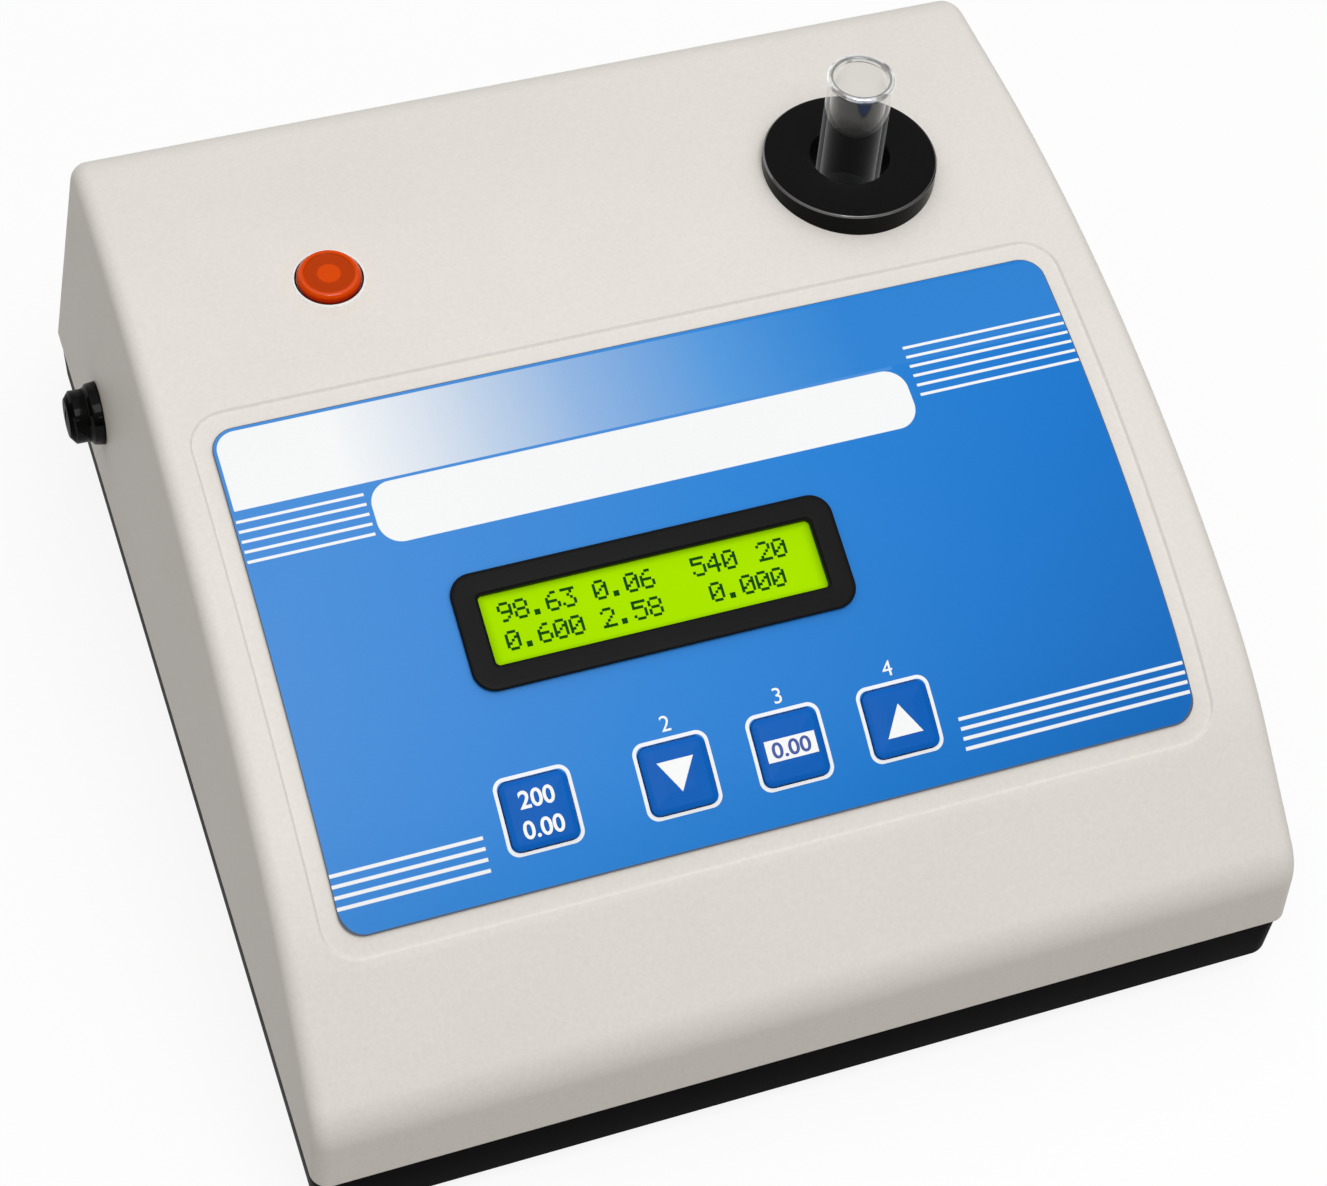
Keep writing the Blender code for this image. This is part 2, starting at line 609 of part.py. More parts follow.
INLET_FRAME = rear_frame(INLET_X)
SWITCH_FRAME = rear_frame(SWITCH_X)

# Depths under the case's surface in the display's and the keys' own frames
CELL_TOP = LABEL_TOP + GAP + BEZEL_FLANGE - BEZEL_LIP - GAP
CELL_BOTTOM = CELL_TOP - CELL_THICKNESS
NECK_BOTTOM = LABEL_TOP + GAP - BEZEL_NECK_DEPTH
BACKLIGHT_TOP = min(CELL_BOTTOM, NECK_BOTTOM) - GAP
BACKLIGHT_BOTTOM = BACKLIGHT_TOP - BACKLIGHT_THICKNESS
DISPLAY_BOARD_TOP = BACKLIGHT_BOTTOM - GAP
KEY_BEND = (KEY_FLANGE_SIZE / 2) ** 2 / (2 * LOWER_BEND_RADIUS)     # fall of the bent cover
KEY_FLANGE_TOP = -CASE_WALL - KEY_BEND - GAP
KEY_FLANGE_BOTTOM = KEY_FLANGE_TOP - KEY_FLANGE_THICKNESS
STEM_TIP = KEY_FLANGE_BOTTOM - KEY_STEM_LENGTH
SWITCH_TOP = STEM_TIP + STEM_ENTRY
SWITCH_BOTTOM = SWITCH_TOP - SWITCH_HEIGHT
KEY_BOARD_TOP = SWITCH_BOTTOM - GAP
KEY_BOARD_HALF = (KEY_XS[-1] - KEY_XS[0]) / 2 + KEY_BOARD_MARGIN
KEY_BOARD_MIDDLE = (KEY_XS[-1] + KEY_XS[0]) / 2


def post_spots(half_x, half_y, middle_x=0.0):
    """The four fixing points of a board, from its middle."""
    return [(middle_x + sx * (half_x - POST_INSET), sy * (half_y - POST_INSET))
            for sx in (-1, 1) for sy in (-1, 1)]


def top_cover():
    """The off-white shell with its recess, openings, board posts and screw bosses."""
    cover = make("top_cover", case_solid(0, edge_steps=OUTER_EDGE_STEPS), SHELL_PLASTIC)
    combine(cover, cutter("cut_cavity", case_solid(CASE_WALL, OVERRUN)))
    posts = [moved(rod(BOSS_RADIUS, SEAM_HEIGHT + TONGUE_HEIGHT, CASE_TOP), Matrix.Translation((x, y, 0)))
             for x, y in SCREW_SPOTS]
    for frame, half_x, half_y, middle_x, board_top in (
            (DISPLAY_FRAME, DISPLAY_BOARD_LENGTH / 2, DISPLAY_BOARD_HEIGHT / 2, 0.0, DISPLAY_BOARD_TOP),
            (KEY_ROW, KEY_BOARD_HALF, KEY_BOARD_HEIGHT / 2, KEY_BOARD_MIDDLE, KEY_BOARD_TOP)):
        posts += [moved(rod(POST_RADIUS, board_top + GAP, 0), frame @ Matrix.Translation((x, y, 0)))
                  for x, y in post_spots(half_x, half_y, middle_x)]
    bosses = cutter("add_bosses", merged(posts))
    combine(bosses, cutter("limit_bosses", case_solid(CASE_WALL - BOSS_SINK)), "INTERSECT")
    combine(cover, bosses, "UNION")
    recess = label_outline(RECESS_BORDER_SIDE, RECESS_BORDER_FRONT, RECESS_BORDER_REAR,
                           LABEL_RADIUS + RECESS_BORDER_SIDE)
    combine(cover, cutter("cut_recess", wrapped_slab(recess, -RECESS_DEPTH, OVERRUN)))
    combine(cover, DISPLAY_HOLE)
    for hole in KEY_HOLES:
        combine(cover, hole)
    neck_hole = rod(NECK_RADIUS + GAP, WELL_TOP, COLLAR_TOP, ROUND_SIDES)
    combine(cover, cutter("cut_neck", neck_hole, WELL_AXIS))
    lens_hole = rod(LENS_RADIUS + GAP, -CASE_WALL - OVERRUN, OVERRUN, ROUND_SIDES)
    combine(cover, cutter("cut_lens", lens_hole, INDICATOR_FRAME))
    fuse_hole = rod(FUSE_BARREL_RADIUS + GAP, -CASE_WALL - OVERRUN, OVERRUN)
    combine(cover, cutter("cut_fuse", fuse_hole, FUSE_FRAME))
    inlet_hole = slab(INLET_BODY_LENGTH / 2 + GAP, INLET_BODY_HEIGHT / 2 + GAP, -CASE_WALL - OVERRUN,
                      OVERRUN, INLET_CORNER)
    combine(cover, cutter("cut_inlet", inlet_hole, INLET_FRAME))
    switch_hole = slab(ROCKER_FRAME_LENGTH / 2 - ROCKER_FRAME_WALL + GAP,
                       ROCKER_FRAME_HEIGHT / 2 - ROCKER_FRAME_WALL + GAP, -CASE_WALL - OVERRUN, OVERRUN,
                       BLOCK_RADIUS)
    combine(cover, cutter("cut_switch", switch_hole, SWITCH_FRAME))
    screw_holes = [moved(rod(PILOT_RADIUS, SEAM_HEIGHT, SEAM_HEIGHT + TONGUE_HEIGHT + PILOT_DEPTH),
                         Matrix.Translation((x, y, 0))) for x, y in SCREW_SPOTS]
    screw_holes += [moved(rod(INLET_SCREW_RADIUS + GAP, -CASE_WALL - OVERRUN, OVERRUN),
                          INLET_FRAME @ Matrix.Translation((side * INLET_SCREW_SPACING / 2, 0, 0)))
                    for side in (-1, 1)]
    combine(cover, cutter("cut_screws", merged(screw_holes)))


def shared_holes():
    """Openings that pass through the label and the cover alike."""
    neck_x = WINDOW_LENGTH / 2 + BEZEL_NECK_WALL + GAP
    neck_y = WINDOW_HEIGHT / 2 + BEZEL_NECK_WALL + GAP
    display = cutter("cut_display", slab(neck_x, neck_y, -CASE_WALL - OVERRUN, OVERRUN, WINDOW_RADIUS),
                     DISPLAY_FRAME)
    keys = [cutter("cut_" + name, slab(KEY_CUT, KEY_CUT, KEY_FLANGE_TOP, OVERRUN, KEY_RADIUS),
                   KEY_ROW @ Matrix.Translation((x, 0, 0))) for name, x in zip(KEY_NAMES, KEY_XS)]
    return display, keys


def front_overlay():
    """The printed label, a thin sheet lying in the cover's recess."""
    bottom = GAP - RECESS_DEPTH
    sheet = wrapped_slab(label_outline(), bottom, bottom + LABEL_THICKNESS)
    label = make("front_overlay", sheet, LABEL_FILM)
    combine(label, DISPLAY_HOLE)
    for hole in KEY_HOLES:
        combine(label, hole)


def display():
    """Bezel, display cell, backlight and board, stacked under the label."""
    flange_bottom = LABEL_TOP + GAP
    flange_top = flange_bottom + BEZEL_FLANGE
    neck = rounded_rectangle(WINDOW_LENGTH / 2 + BEZEL_NECK_WALL, WINDOW_HEIGHT / 2 + BEZEL_NECK_WALL,
                             WINDOW_RADIUS)
    flange = rounded_rectangle(BEZEL_LENGTH / 2, BEZEL_HEIGHT / 2, BEZEL_RADIUS)
    crown = rounded_rectangle(BEZEL_LENGTH / 2 - BEZEL_CHAMFER, BEZEL_HEIGHT / 2 - BEZEL_CHAMFER,
                              BEZEL_RADIUS - BEZEL_CHAMFER)
    bezel = make("lcd_bezel", lofted([(neck, NECK_BOTTOM), (neck, flange_bottom), (flange, flange_bottom),
                                      (flange, flange_top - BEZEL_CHAMFER), (crown, flange_top)]),
                 GLOSS_BLACK, DISPLAY_FRAME)
    window = slab(WINDOW_LENGTH / 2, WINDOW_HEIGHT / 2, NECK_BOTTOM - OVERRUN, flange_top + OVERRUN,
                  WINDOW_RADIUS)
    rebate = slab(WINDOW_LENGTH / 2 + REBATE_MARGIN, WINDOW_HEIGHT / 2 + REBATE_MARGIN,
                  NECK_BOTTOM - OVERRUN, CELL_TOP + GAP, WINDOW_RADIUS)
    combine(bezel, cutter("cut_window", window, DISPLAY_FRAME))
    combine(bezel, cutter("cut_rebate", rebate, DISPLAY_FRAME))
    cell = slab(WINDOW_LENGTH / 2 + REBATE_MARGIN - GAP, WINDOW_HEIGHT / 2 + REBATE_MARGIN - GAP,
                CELL_BOTTOM, CELL_TOP, WINDOW_RADIUS)
    make("lcd_cell", cell, CELL_GLASS, DISPLAY_FRAME)
    backlight = slab(WINDOW_LENGTH / 2 + BACKLIGHT_MARGIN, WINDOW_HEIGHT / 2 + BACKLIGHT_MARGIN,
                     BACKLIGHT_BOTTOM, BACKLIGHT_TOP, WINDOW_RADIUS)
    make("lcd_backlight", backlight, WHITE_PLASTIC, DISPLAY_FRAME)
    board = slab(DISPLAY_BOARD_LENGTH / 2, DISPLAY_BOARD_HEIGHT / 2, DISPLAY_BOARD_TOP - BOARD_THICKNESS,
                 DISPLAY_BOARD_TOP, WINDOW_RADIUS)
    make("lcd_board", board, BOARD, DISPLAY_FRAME)


def square(size, radius):
    """Plan points of a rounded square of the given width."""
    return rounded_rectangle(size / 2, size / 2, radius)


def keys():
    """Four keys with their stems, the tact switches under them and the board that carries these."""
    top = LABEL_TOP + KEY_PROUD
    for number, (name, x) in enumerate(zip(KEY_NAMES, KEY_XS), start=1):
        place = KEY_ROW @ Matrix.Translation((x, 0, 0))
        stem = square(KEY_STEM_SIZE, KEY_STEM_SIZE / 2)
        flange = square(KEY_FLANGE_SIZE, KEY_RADIUS)
        cap = square(KEY_SIZE, KEY_RADIUS)
        edge = square(KEY_SIZE - KEY_EDGE, KEY_RADIUS)
        crown = square(KEY_SIZE - 4 * KEY_EDGE, KEY_RADIUS)
        form = lofted([(stem, STEM_TIP), (stem, KEY_FLANGE_BOTTOM), (flange, KEY_FLANGE_BOTTOM),
                       (flange, KEY_FLANGE_TOP), (cap, KEY_FLANGE_TOP), (cap, top - KEY_EDGE),
                       (edge, top - KEY_EDGE / 2), (crown, top)])
        make(name, form, KEY_FILM, place)
        switch = make("tact_switch_%d" % number,
                      slab(SWITCH_SIZE / 2, SWITCH_SIZE / 2, SWITCH_BOTTOM, SWITCH_TOP, BLOCK_RADIUS),
                      BLACK_PLASTIC, place)
        bore = rod(KEY_STEM_SIZE / 2 + GAP, SWITCH_TOP - SWITCH_BORE_DEPTH, SWITCH_TOP + OVERRUN)
        combine(switch, cutter("cut_switch_%d" % number, bore, place))
    board = slab(KEY_BOARD_HALF, KEY_BOARD_HEIGHT / 2, KEY_BOARD_TOP - BOARD_THICKNESS, KEY_BOARD_TOP,
                 KEY_RADIUS, (KEY_BOARD_MIDDLE, 0))
    make("key_board", board, BOARD, KEY_ROW)


def sample_well():
    """Collar on the case, well under it with the light path, and the glass tube that lifts out."""
    disc = turned([(COLLAR_RADIUS, COLLAR_TOP - NECK_DROP), (COLLAR_RADIUS, COLLAR_TOP - COLLAR_EDGE),
                   (COLLAR_RADIUS - COLLAR_EDGE, COLLAR_TOP)], COLLAR_SIDES)
    collar = make("cuvette_collar", disc, GLOSS_BLACK, WELL_AXIS)
    reach = COLLAR_RADIUS + OVERRUN
    bed = rounded_rectangle(reach, reach, OVERRUN, WELL_MIDDLE)
    combine(collar, cutter("cut_collar_bed", wrapped_slab(bed, -2 * NECK_DROP, GAP)))
    neck = rod(NECK_RADIUS, WELL_TOP + GAP, COLLAR_TOP - COLLAR_EDGE, ROUND_SIDES)
    combine(collar, cutter("add_neck", neck, WELL_AXIS), "UNION")
    bore = turned([(WELL_BORE, WELL_TOP - OVERRUN), (WELL_BORE, COLLAR_TOP - 2 * COLLAR_BORE_DEPTH),
                   (COLLAR_BORE_RADIUS, COLLAR_TOP - COLLAR_BORE_DEPTH),
                   (COLLAR_BORE_RADIUS, COLLAR_TOP + OVERRUN)])
    combine(collar, cutter("cut_collar_bore", bore, WELL_AXIS))

    foot = BENCH_HEIGHT + GAP
    foot_top = foot + WELL_FOOT_THICKNESS
    well = make("cuvette_well", turned([(WELL_FOOT_RADIUS, foot), (WELL_FOOT_RADIUS, foot_top),
                                        (NECK_RADIUS, foot_top), (NECK_RADIUS, WELL_TOP)]),
                BLACK_PLASTIC, WELL_AXIS)
    hollow = rod(WELL_BORE, TUBE_FOOT - GAP, WELL_TOP + OVERRUN, ROUND_SIDES)
    combine(well, cutter("cut_well", hollow, WELL_AXIS))
    beam = rod(BEAM_RADIUS, -NECK_RADIUS - OVERRUN, NECK_RADIUS + OVERRUN)
    combine(well, cutter("cut_beam", beam, Matrix.Translation((WELL_MIDDLE.x, WELL_MIDDLE.y, BEAM_HEIGHT))
                         @ Matrix.Rotation(math.pi / 2, 4, "Y")))

    inner = TUBE_RADIUS - TUBE_WALL
    centre = TUBE_FOOT + TUBE_RADIUS
    quarter = [math.pi / 2 * step / CORNER_STEPS for step in range(CORNER_STEPS + 1)]
    profile = [(TUBE_RADIUS * math.sin(a), centre - TUBE_RADIUS * math.cos(a)) for a in quarter]
    profile += [(TUBE_RADIUS, TUBE_TOP - TUBE_LIP_HEIGHT),
                (TUBE_RADIUS + TUBE_LIP, TUBE_TOP - TUBE_LIP_HEIGHT / 2),
                (TUBE_RADIUS, TUBE_TOP), (inner, TUBE_TOP)]
    profile += [(inner * math.sin(a), centre - inner * math.cos(a)) for a in reversed(quarter)]
    profile[0] = (0, TUBE_FOOT)
    profile[-1] = (0, centre - inner)
    make("cuvette", turned(profile, MEDIUM_SIDES), CLEAR_GLASS, WELL_AXIS)


def indicator():
    """Orange lens, its body and the nut under the cover."""
    quarter = [math.pi / 2 * step / CORNER_STEPS for step in range(CORNER_STEPS + 1)]
    ring_middle, ring_height = LENS_RADIUS - LENS_RING, LENS_RISE - LENS_RING
    lens = [(LENS_RADIUS, -LENS_SKIRT)]
    lens += [(ring_middle + LENS_RING * math.cos(a), ring_height + LENS_RING * math.sin(a))
             for a in quarter]
    lens += [(LENS_RADIUS - 1.5 * LENS_RING, LENS_RISE - LENS_DISH), (0, LENS_RISE - LENS_DISH)]
    make("lamp_lens", turned(lens), ORANGE_LENS, INDICATOR_FRAME)
    shelf = -LENS_SKIRT - GAP
    body = [(0, -INDICATOR_BODY_LENGTH), (INDICATOR_BODY_RADIUS, -INDICATOR_BODY_LENGTH),
            (INDICATOR_BODY_RADIUS, shelf - LENS_SKIRT), (LENS_RADIUS, shelf - LENS_SKIRT),
            (LENS_RADIUS, shelf), (0, shelf)]
    make("lamp_body", turned(body), BLACK_PLASTIC, INDICATOR_FRAME)
    nut_top = -CASE_WALL - GAP
    nut_bottom = nut_top - NUT_THICKNESS
    nut = make("lamp_nut", rod(INDICATOR_NUT_RADIUS, nut_bottom, nut_top, NUT_SIDES),
               BLACK_PLASTIC, INDICATOR_FRAME)
    bore = rod(INDICATOR_BODY_RADIUS + GAP, nut_bottom - OVERRUN, nut_top + OVERRUN, ROUND_SIDES)
    combine(nut, cutter("cut_lamp_nut", bore, INDICATOR_FRAME))


def fuse_holder():
    """Panel fuse holder: body with its nut, turning cap and the glass fuse that it carries."""
    flange_top = GAP + FUSE_FLANGE_THICKNESS
    body = make("fuse_holder_body",
                turned([(0, -FUSE_BARREL_LENGTH), (FUSE_BARREL_RADIUS, -FUSE_BARREL_LENGTH),
                        (FUSE_BARREL_RADIUS, GAP), (FUSE_FLANGE_RADIUS, GAP),
                        (FUSE_FLANGE_RADIUS, flange_top - FUSE_SHOULDER),
                        (FUSE_CAP_RADIUS, flange_top), (0, flange_top)], MEDIUM_SIDES),
                BLACK_PLASTIC, FUSE_FRAME)
    cap_bottom = flange_top + GAP
    stem_bottom = cap_bottom - FUSE_STEM_LENGTH
    fuse_top = stem_bottom - GAP
    fuse_room = FUSE_RADIUS + RUNNING_CLEARANCE
    stem_room = FUSE_STEM_RADIUS + RUNNING_CLEARANCE
    bore = turned([(fuse_room, fuse_top - FUSE_LENGTH - GAP), (fuse_room, fuse_top), (stem_room, fuse_top),
                   (stem_room, flange_top + OVERRUN)], MEDIUM_SIDES)
    combine(body, cutter("cut_fuse_bore", bore, FUSE_FRAME))
    dome_top = cap_bottom + FUSE_CAP_LENGTH + FUSE_CAP_DOME
    cap = make("fuse_cap",
               turned([(0, stem_bottom), (FUSE_STEM_RADIUS, stem_bottom),
                       (FUSE_STEM_RADIUS, cap_bottom), (FUSE_CAP_RADIUS, cap_bottom),
                       (FUSE_CAP_RADIUS, cap_bottom + FUSE_CAP_LENGTH),
                       (FUSE_SLOT_LENGTH / 2, dome_top), (0, dome_top)], MEDIUM_SIDES),
               BLACK_PLASTIC, FUSE_FRAME)
    slot = box((-FUSE_SLOT_LENGTH / 2, -FUSE_SLOT_WIDTH / 2, dome_top - FUSE_SLOT_DEPTH),
               (FUSE_SLOT_LENGTH / 2, FUSE_SLOT_WIDTH / 2, dome_top + OVERRUN))
    combine(cap, cutter("cut_fuse_slot", slot, FUSE_FRAME))
    make("fuse", rod(FUSE_RADIUS, fuse_top - FUSE_LENGTH, fuse_top), CLEAR_GLASS, FUSE_FRAME)
    nut_top = -CASE_WALL - GAP
    nut_bottom = nut_top - NUT_THICKNESS
    nut = make("fuse_holder_nut", rod(FUSE_NUT_RADIUS, nut_bottom, nut_top, NUT_SIDES),
               BLACK_PLASTIC, FUSE_FRAME)
    hole = rod(FUSE_BARREL_RADIUS + GAP, nut_bottom - OVERRUN, nut_top + OVERRUN, MEDIUM_SIDES)
    combine(nut, cutter("cut_fuse_nut", hole, FUSE_FRAME))


def mains_inlet():
    """Three-pin inlet in the rear wall, held by two screws."""
    flange = slab(INLET_FLANGE_LENGTH / 2, INLET_FLANGE_HEIGHT / 2, GAP, GAP + INLET_FLANGE_THICKNESS,
                  INLET_CORNER)
    inlet = make("mains_inlet", flange, BLACK_PLASTIC, INLET_FRAME)
    body = slab(INLET_BODY_LENGTH / 2, INLET_BODY_HEIGHT / 2, -INLET_BODY_DEPTH,
                GAP + INLET_FLANGE_THICKNESS / 2, INLET_CORNER - GAP)
    combine(inlet, cutter("add_inlet_body", body, INLET_FRAME), "UNION")
    mouth = GAP + INLET_FLANGE_THICKNESS
    socket = slab(INLET_SOCKET_LENGTH / 2, INLET_SOCKET_HEIGHT / 2, mouth - INLET_SOCKET_DEPTH,
                  mouth + OVERRUN, INLET_CORNER)
    combine(inlet, cutter("cut_socket", socket, INLET_FRAME))
    floor = mouth - INLET_SOCKET_DEPTH
    pins = []
    for x, y in ((-PIN_SPREAD, -PIN_DROP), (PIN_SPREAD, -PIN_DROP), (0, PIN_DROP)):
        pins.append(box((x - PIN_WIDTH / 2, y - PIN_HEIGHT / 2, floor - GAP),
                        (x + PIN_WIDTH / 2, y + PIN_HEIGHT / 2, floor + PIN_LENGTH)))
    combine(inlet, cutter("add_pins", merged(pins), INLET_FRAME), "UNION")
    holes = [moved(rod(INLET_SCREW_RADIUS + GAP, -OVERRUN, mouth + OVERRUN),
                   Matrix.Translation((side * INLET_SCREW_SPACING / 2, 0, 0))) for side in (-1, 1)]
    combine(inlet, cutter("cut_inlet_screws", merged(holes), INLET_FRAME))
    for side, name in ((-1, "inlet_screw_right"), (1, "inlet_screw_left")):
        head = mouth + GAP
        screw = turned([(INLET_SCREW_RADIUS, mouth - INLET_SCREW_LENGTH), (INLET_SCREW_RADIUS, head),
                        (INLET_SCREW_HEAD, head), (INLET_SCREW_HEAD, head + HEAD_THICKNESS / 2),
                        (INLET_SCREW_RADIUS, head + HEAD_THICKNESS)], SMALL_SIDES)
        make(name, screw, STEEL, INLET_FRAME @ Matrix.Translation((side * INLET_SCREW_SPACING / 2, 0, 0)))


def power_switch():
    """Rocker switch beside the inlet: a snapped-in frame and the rocker that tilts in it."""
    half_x, half_y = ROCKER_FRAME_LENGTH / 2, ROCKER_FRAME_HEIGHT / 2
    rim = rounded_rectangle(half_x, half_y, BLOCK_RADIUS)
    sleeve = rounded_rectangle(half_x - ROCKER_FRAME_WALL, half_y - ROCKER_FRAME_WALL, BLOCK_RADIUS)
    top = GAP + ROCKER_FRAME_PROUD
    sections = [(sleeve, -ROCKER_FRAME_DEPTH), (sleeve, GAP), (rim, GAP), (rim, top)]
    frame = make("switch_frame", lofted(sections), BLACK_PLASTIC, SWITCH_FRAME)
    room_x, room_y = half_x - 2 * ROCKER_FRAME_WALL, half_y - 2 * ROCKER_FRAME_WALL
    pocket = slab(room_x, room_y, top - ROCKER_POCKET, top + OVERRUN, BLOCK_RADIUS)
    combine(frame, cutter("cut_pocket", pocket, SWITCH_FRAME))
    axis_height = top - ROCKER_CREST
    long, wide = room_x - 2 * RUNNING_CLEARANCE, room_y - RUNNING_CLEARANCE
    rocker = bmesh.new()
    side_points = [(-long, -ROCKER_DROP), (long, -ROCKER_DROP), (long, ROCKER_CREST), (0, ROCKER_CREST / 2),
                   (-long, ROCKER_CREST)]
    ends = [[rocker.verts.new((x, y, z)) for x, z in side_points] for y in (-wide, wide)]
    rocker.faces.new(ends[0])
    rocker.faces.new(ends[1])
    for index in range(len(side_points)):
        after = (index + 1) % len(side_points)
        rocker.faces.new((ends[0][index], ends[0][after], ends[1][after], ends[1][index]))
    make("switch_rocker", rocker, GLOSS_BLACK, SWITCH_FRAME @ Matrix.Translation((0, 0, axis_height))
         @ Matrix.Rotation(ROCKER_TILT, 4, "Y"))


def tray_section(inset, rear_inset, height, radius):
    """Plan outline of the tray at a height, in from the seam's edges."""
    half_y = CASE_DEPTH / 2 - (inset + rear_inset) / 2
    middle = (CASE_X, (inset - rear_inset) / 2)
    return rounded_rectangle(CASE_WIDTH / 2 - inset, half_y, radius, middle), height


def base_tray():
    """Black tapered tray with a tongue that locates the cover, standoffs and screw bosses."""
    brim = SEAM_HEIGHT - GAP
    tongue_top = SEAM_HEIGHT + TONGUE_HEIGHT
    tongue_inset = CASE_WALL + RUNNING_CLEARANCE + math.tan(SIDE_DRAFT) * TONGUE_HEIGHT
    tongue_rear = CASE_WALL / math.cos(REAR_DRAFT) + RUNNING_CLEARANCE + REAR_SLANT * TONGUE_HEIGHT
    tongue_radius = SHOULDER_RADIUS - tongue_inset
    edge_inset = TRAY_FOOT_INSET + TRAY_EDGE
    sections = [tray_section(edge_inset, edge_inset, TRAY_BOTTOM, TRAY_RADIUS),
                tray_section(TRAY_FOOT_INSET, TRAY_FOOT_INSET, TRAY_BOTTOM + TRAY_EDGE, TRAY_RADIUS),
                tray_section(TRAY_TOP_INSET, TRAY_TOP_INSET, brim, TRAY_RADIUS),
                tray_section(tongue_inset, tongue_rear, brim, tongue_radius),
                tray_section(tongue_inset, tongue_rear, tongue_top, tongue_radius)]
    tray = make("base_tray", lofted(sections), BLACK_PLASTIC)
    inset, rear = tongue_inset + TONGUE_WALL, tongue_rear + TONGUE_WALL
    hollow = lofted([tray_section(inset, rear, FLOOR_TOP, tongue_radius - TONGUE_WALL),
                     tray_section(inset, rear, tongue_top + OVERRUN, tongue_radius - TONGUE_WALL)])
    combine(tray, cutter("cut_tray", hollow))

    root = FLOOR_TOP - TRAY_FLOOR / 2
    standing = [(BOSS_RADIUS, tongue_top - GAP, SCREW_SPOTS),
                (STANDOFF_RADIUS, MAIN_BOARD_HEIGHT - GAP, BOARD_SPOTS),
                (STANDOFF_RADIUS, BENCH_HEIGHT - BENCH_THICKNESS - GAP, BENCH_SPOTS)]
    towers = [moved(rod(radius, root, top), Matrix.Translation((x, y, 0)))
              for radius, top, spots in standing for x, y in spots]
    combine(tray, cutter("add_towers", merged(towers)), "UNION")
    holes = [moved(turned([(COUNTERBORE_RADIUS, TRAY_BOTTOM - OVERRUN),
                           (COUNTERBORE_RADIUS, TRAY_BOTTOM + COUNTERBORE_DEPTH),
                           (CASE_SCREW_RADIUS + GAP, TRAY_BOTTOM + COUNTERBORE_DEPTH),
                           (CASE_SCREW_RADIUS + GAP, tongue_top + OVERRUN)], SMALL_SIDES),
                   Matrix.Translation((x, y, 0))) for x, y in SCREW_SPOTS]
    combine(tray, cutter("cut_tray_screws", merged(holes)))

    screw_names = ["case_screw_front_left", "case_screw_front_right", "case_screw_rear_left",
                   "case_screw_rear_right"]
    for name, (x, y) in zip(screw_names, SCREW_SPOTS):
        seat = TRAY_BOTTOM + COUNTERBORE_DEPTH - GAP
        screw = turned([(CASE_SCREW_HEAD_RADIUS, seat - CASE_SCREW_HEAD), (CASE_SCREW_HEAD_RADIUS, seat),
                        (CASE_SCREW_RADIUS, seat), (CASE_SCREW_RADIUS, tongue_top + CASE_SCREW_BITE)],
                       SMALL_SIDES)
        make(name, screw, STEEL, Matrix.Translation((x, y, 0)))

    foot_names = ["foot_front_left", "foot_front_right", "foot_rear_left", "foot_rear_right"]
    spots = [(CASE_X + sx * (CASE_WIDTH / 2 - FOOT_INSET), sy * (CASE_DEPTH / 2 - FOOT_INSET))
             for sy in (-1, 1) for sx in (-1, 1)]
    for name, (x, y) in zip(foot_names, spots):
        foot = turned([(FOOT_RADIUS - FOOT_EDGE, 0), (FOOT_RADIUS, FOOT_EDGE), (FOOT_RADIUS, FOOT_HEIGHT)],
                      MEDIUM_SIDES)
        make(name, foot, RUBBER, Matrix.Translation((x, y, 0)))


BOARD_SPOTS = [(CASE_X + MAIN_BOARD_X + sx * (MAIN_BOARD_LENGTH / 2 - MAIN_BOARD_HOLE_INSET),
                FRONT_Y + MAIN_BOARD_Y + sy * (MAIN_BOARD_WIDTH / 2 - MAIN_BOARD_HOLE_INSET))
               for sx in (-1, 1) for sy in (-1, 1)]
BENCH_SPOTS = [(CASE_X + BENCH_X + sx * (BENCH_LENGTH / 2 - BENCH_HOLE_INSET),
                WELL_MIDDLE.y + sy * (BENCH_WIDTH / 2 - BENCH_HOLE_INSET))
               for sx in (-1, 1) for sy in (-1, 1)]


def electronics():
    """Main board on its standoffs, and the mains transformer on the tray's floor."""
    board = slab(MAIN_BOARD_LENGTH / 2, MAIN_BOARD_WIDTH / 2, MAIN_BOARD_HEIGHT,
                 MAIN_BOARD_HEIGHT + BOARD_THICKNESS, KEY_RADIUS,
                 (CASE_X + MAIN_BOARD_X, FRONT_Y + MAIN_BOARD_Y))
    make("main_board", board, BOARD)
    place = Matrix.Translation((CASE_X + CORE_X, FRONT_Y + CORE_Y, FLOOR_TOP + GAP))
    core = make("transformer_core", box((-CORE_LENGTH / 2, -CORE_THICKNESS / 2, 0),
                                        (CORE_LENGTH / 2, CORE_THICKNESS / 2, CORE_HEIGHT)), STEEL, place)
    window_bottom, window_top = CORE_LEG, CORE_HEIGHT - CORE_LEG
    window_end = CORE_LENGTH / 2 - CORE_LEG
    windows = [box((min(side * CORE_LEG, side * window_end), -CORE_THICKNESS, window_bottom),
                   (max(side * CORE_LEG, side * window_end), CORE_THICKNESS, window_top))
               for side in (-1, 1)]
    combine(core, cutter("cut_core_windows", merged(windows), place))
    coil_half = window_end - GAP
    coil = make("transformer_coil", slab(coil_half, COIL_DEPTH / 2, window_bottom + GAP, window_top - GAP,
                                         CORE_LEG / 2), COPPER, place)
    leg_room = box((-CORE_LEG - GAP, -CORE_THICKNESS / 2 - GAP, 0),
                   (CORE_LEG + GAP, CORE_THICKNESS / 2 + GAP, CORE_HEIGHT))
    combine(coil, cutter("cut_coil", leg_room, place))


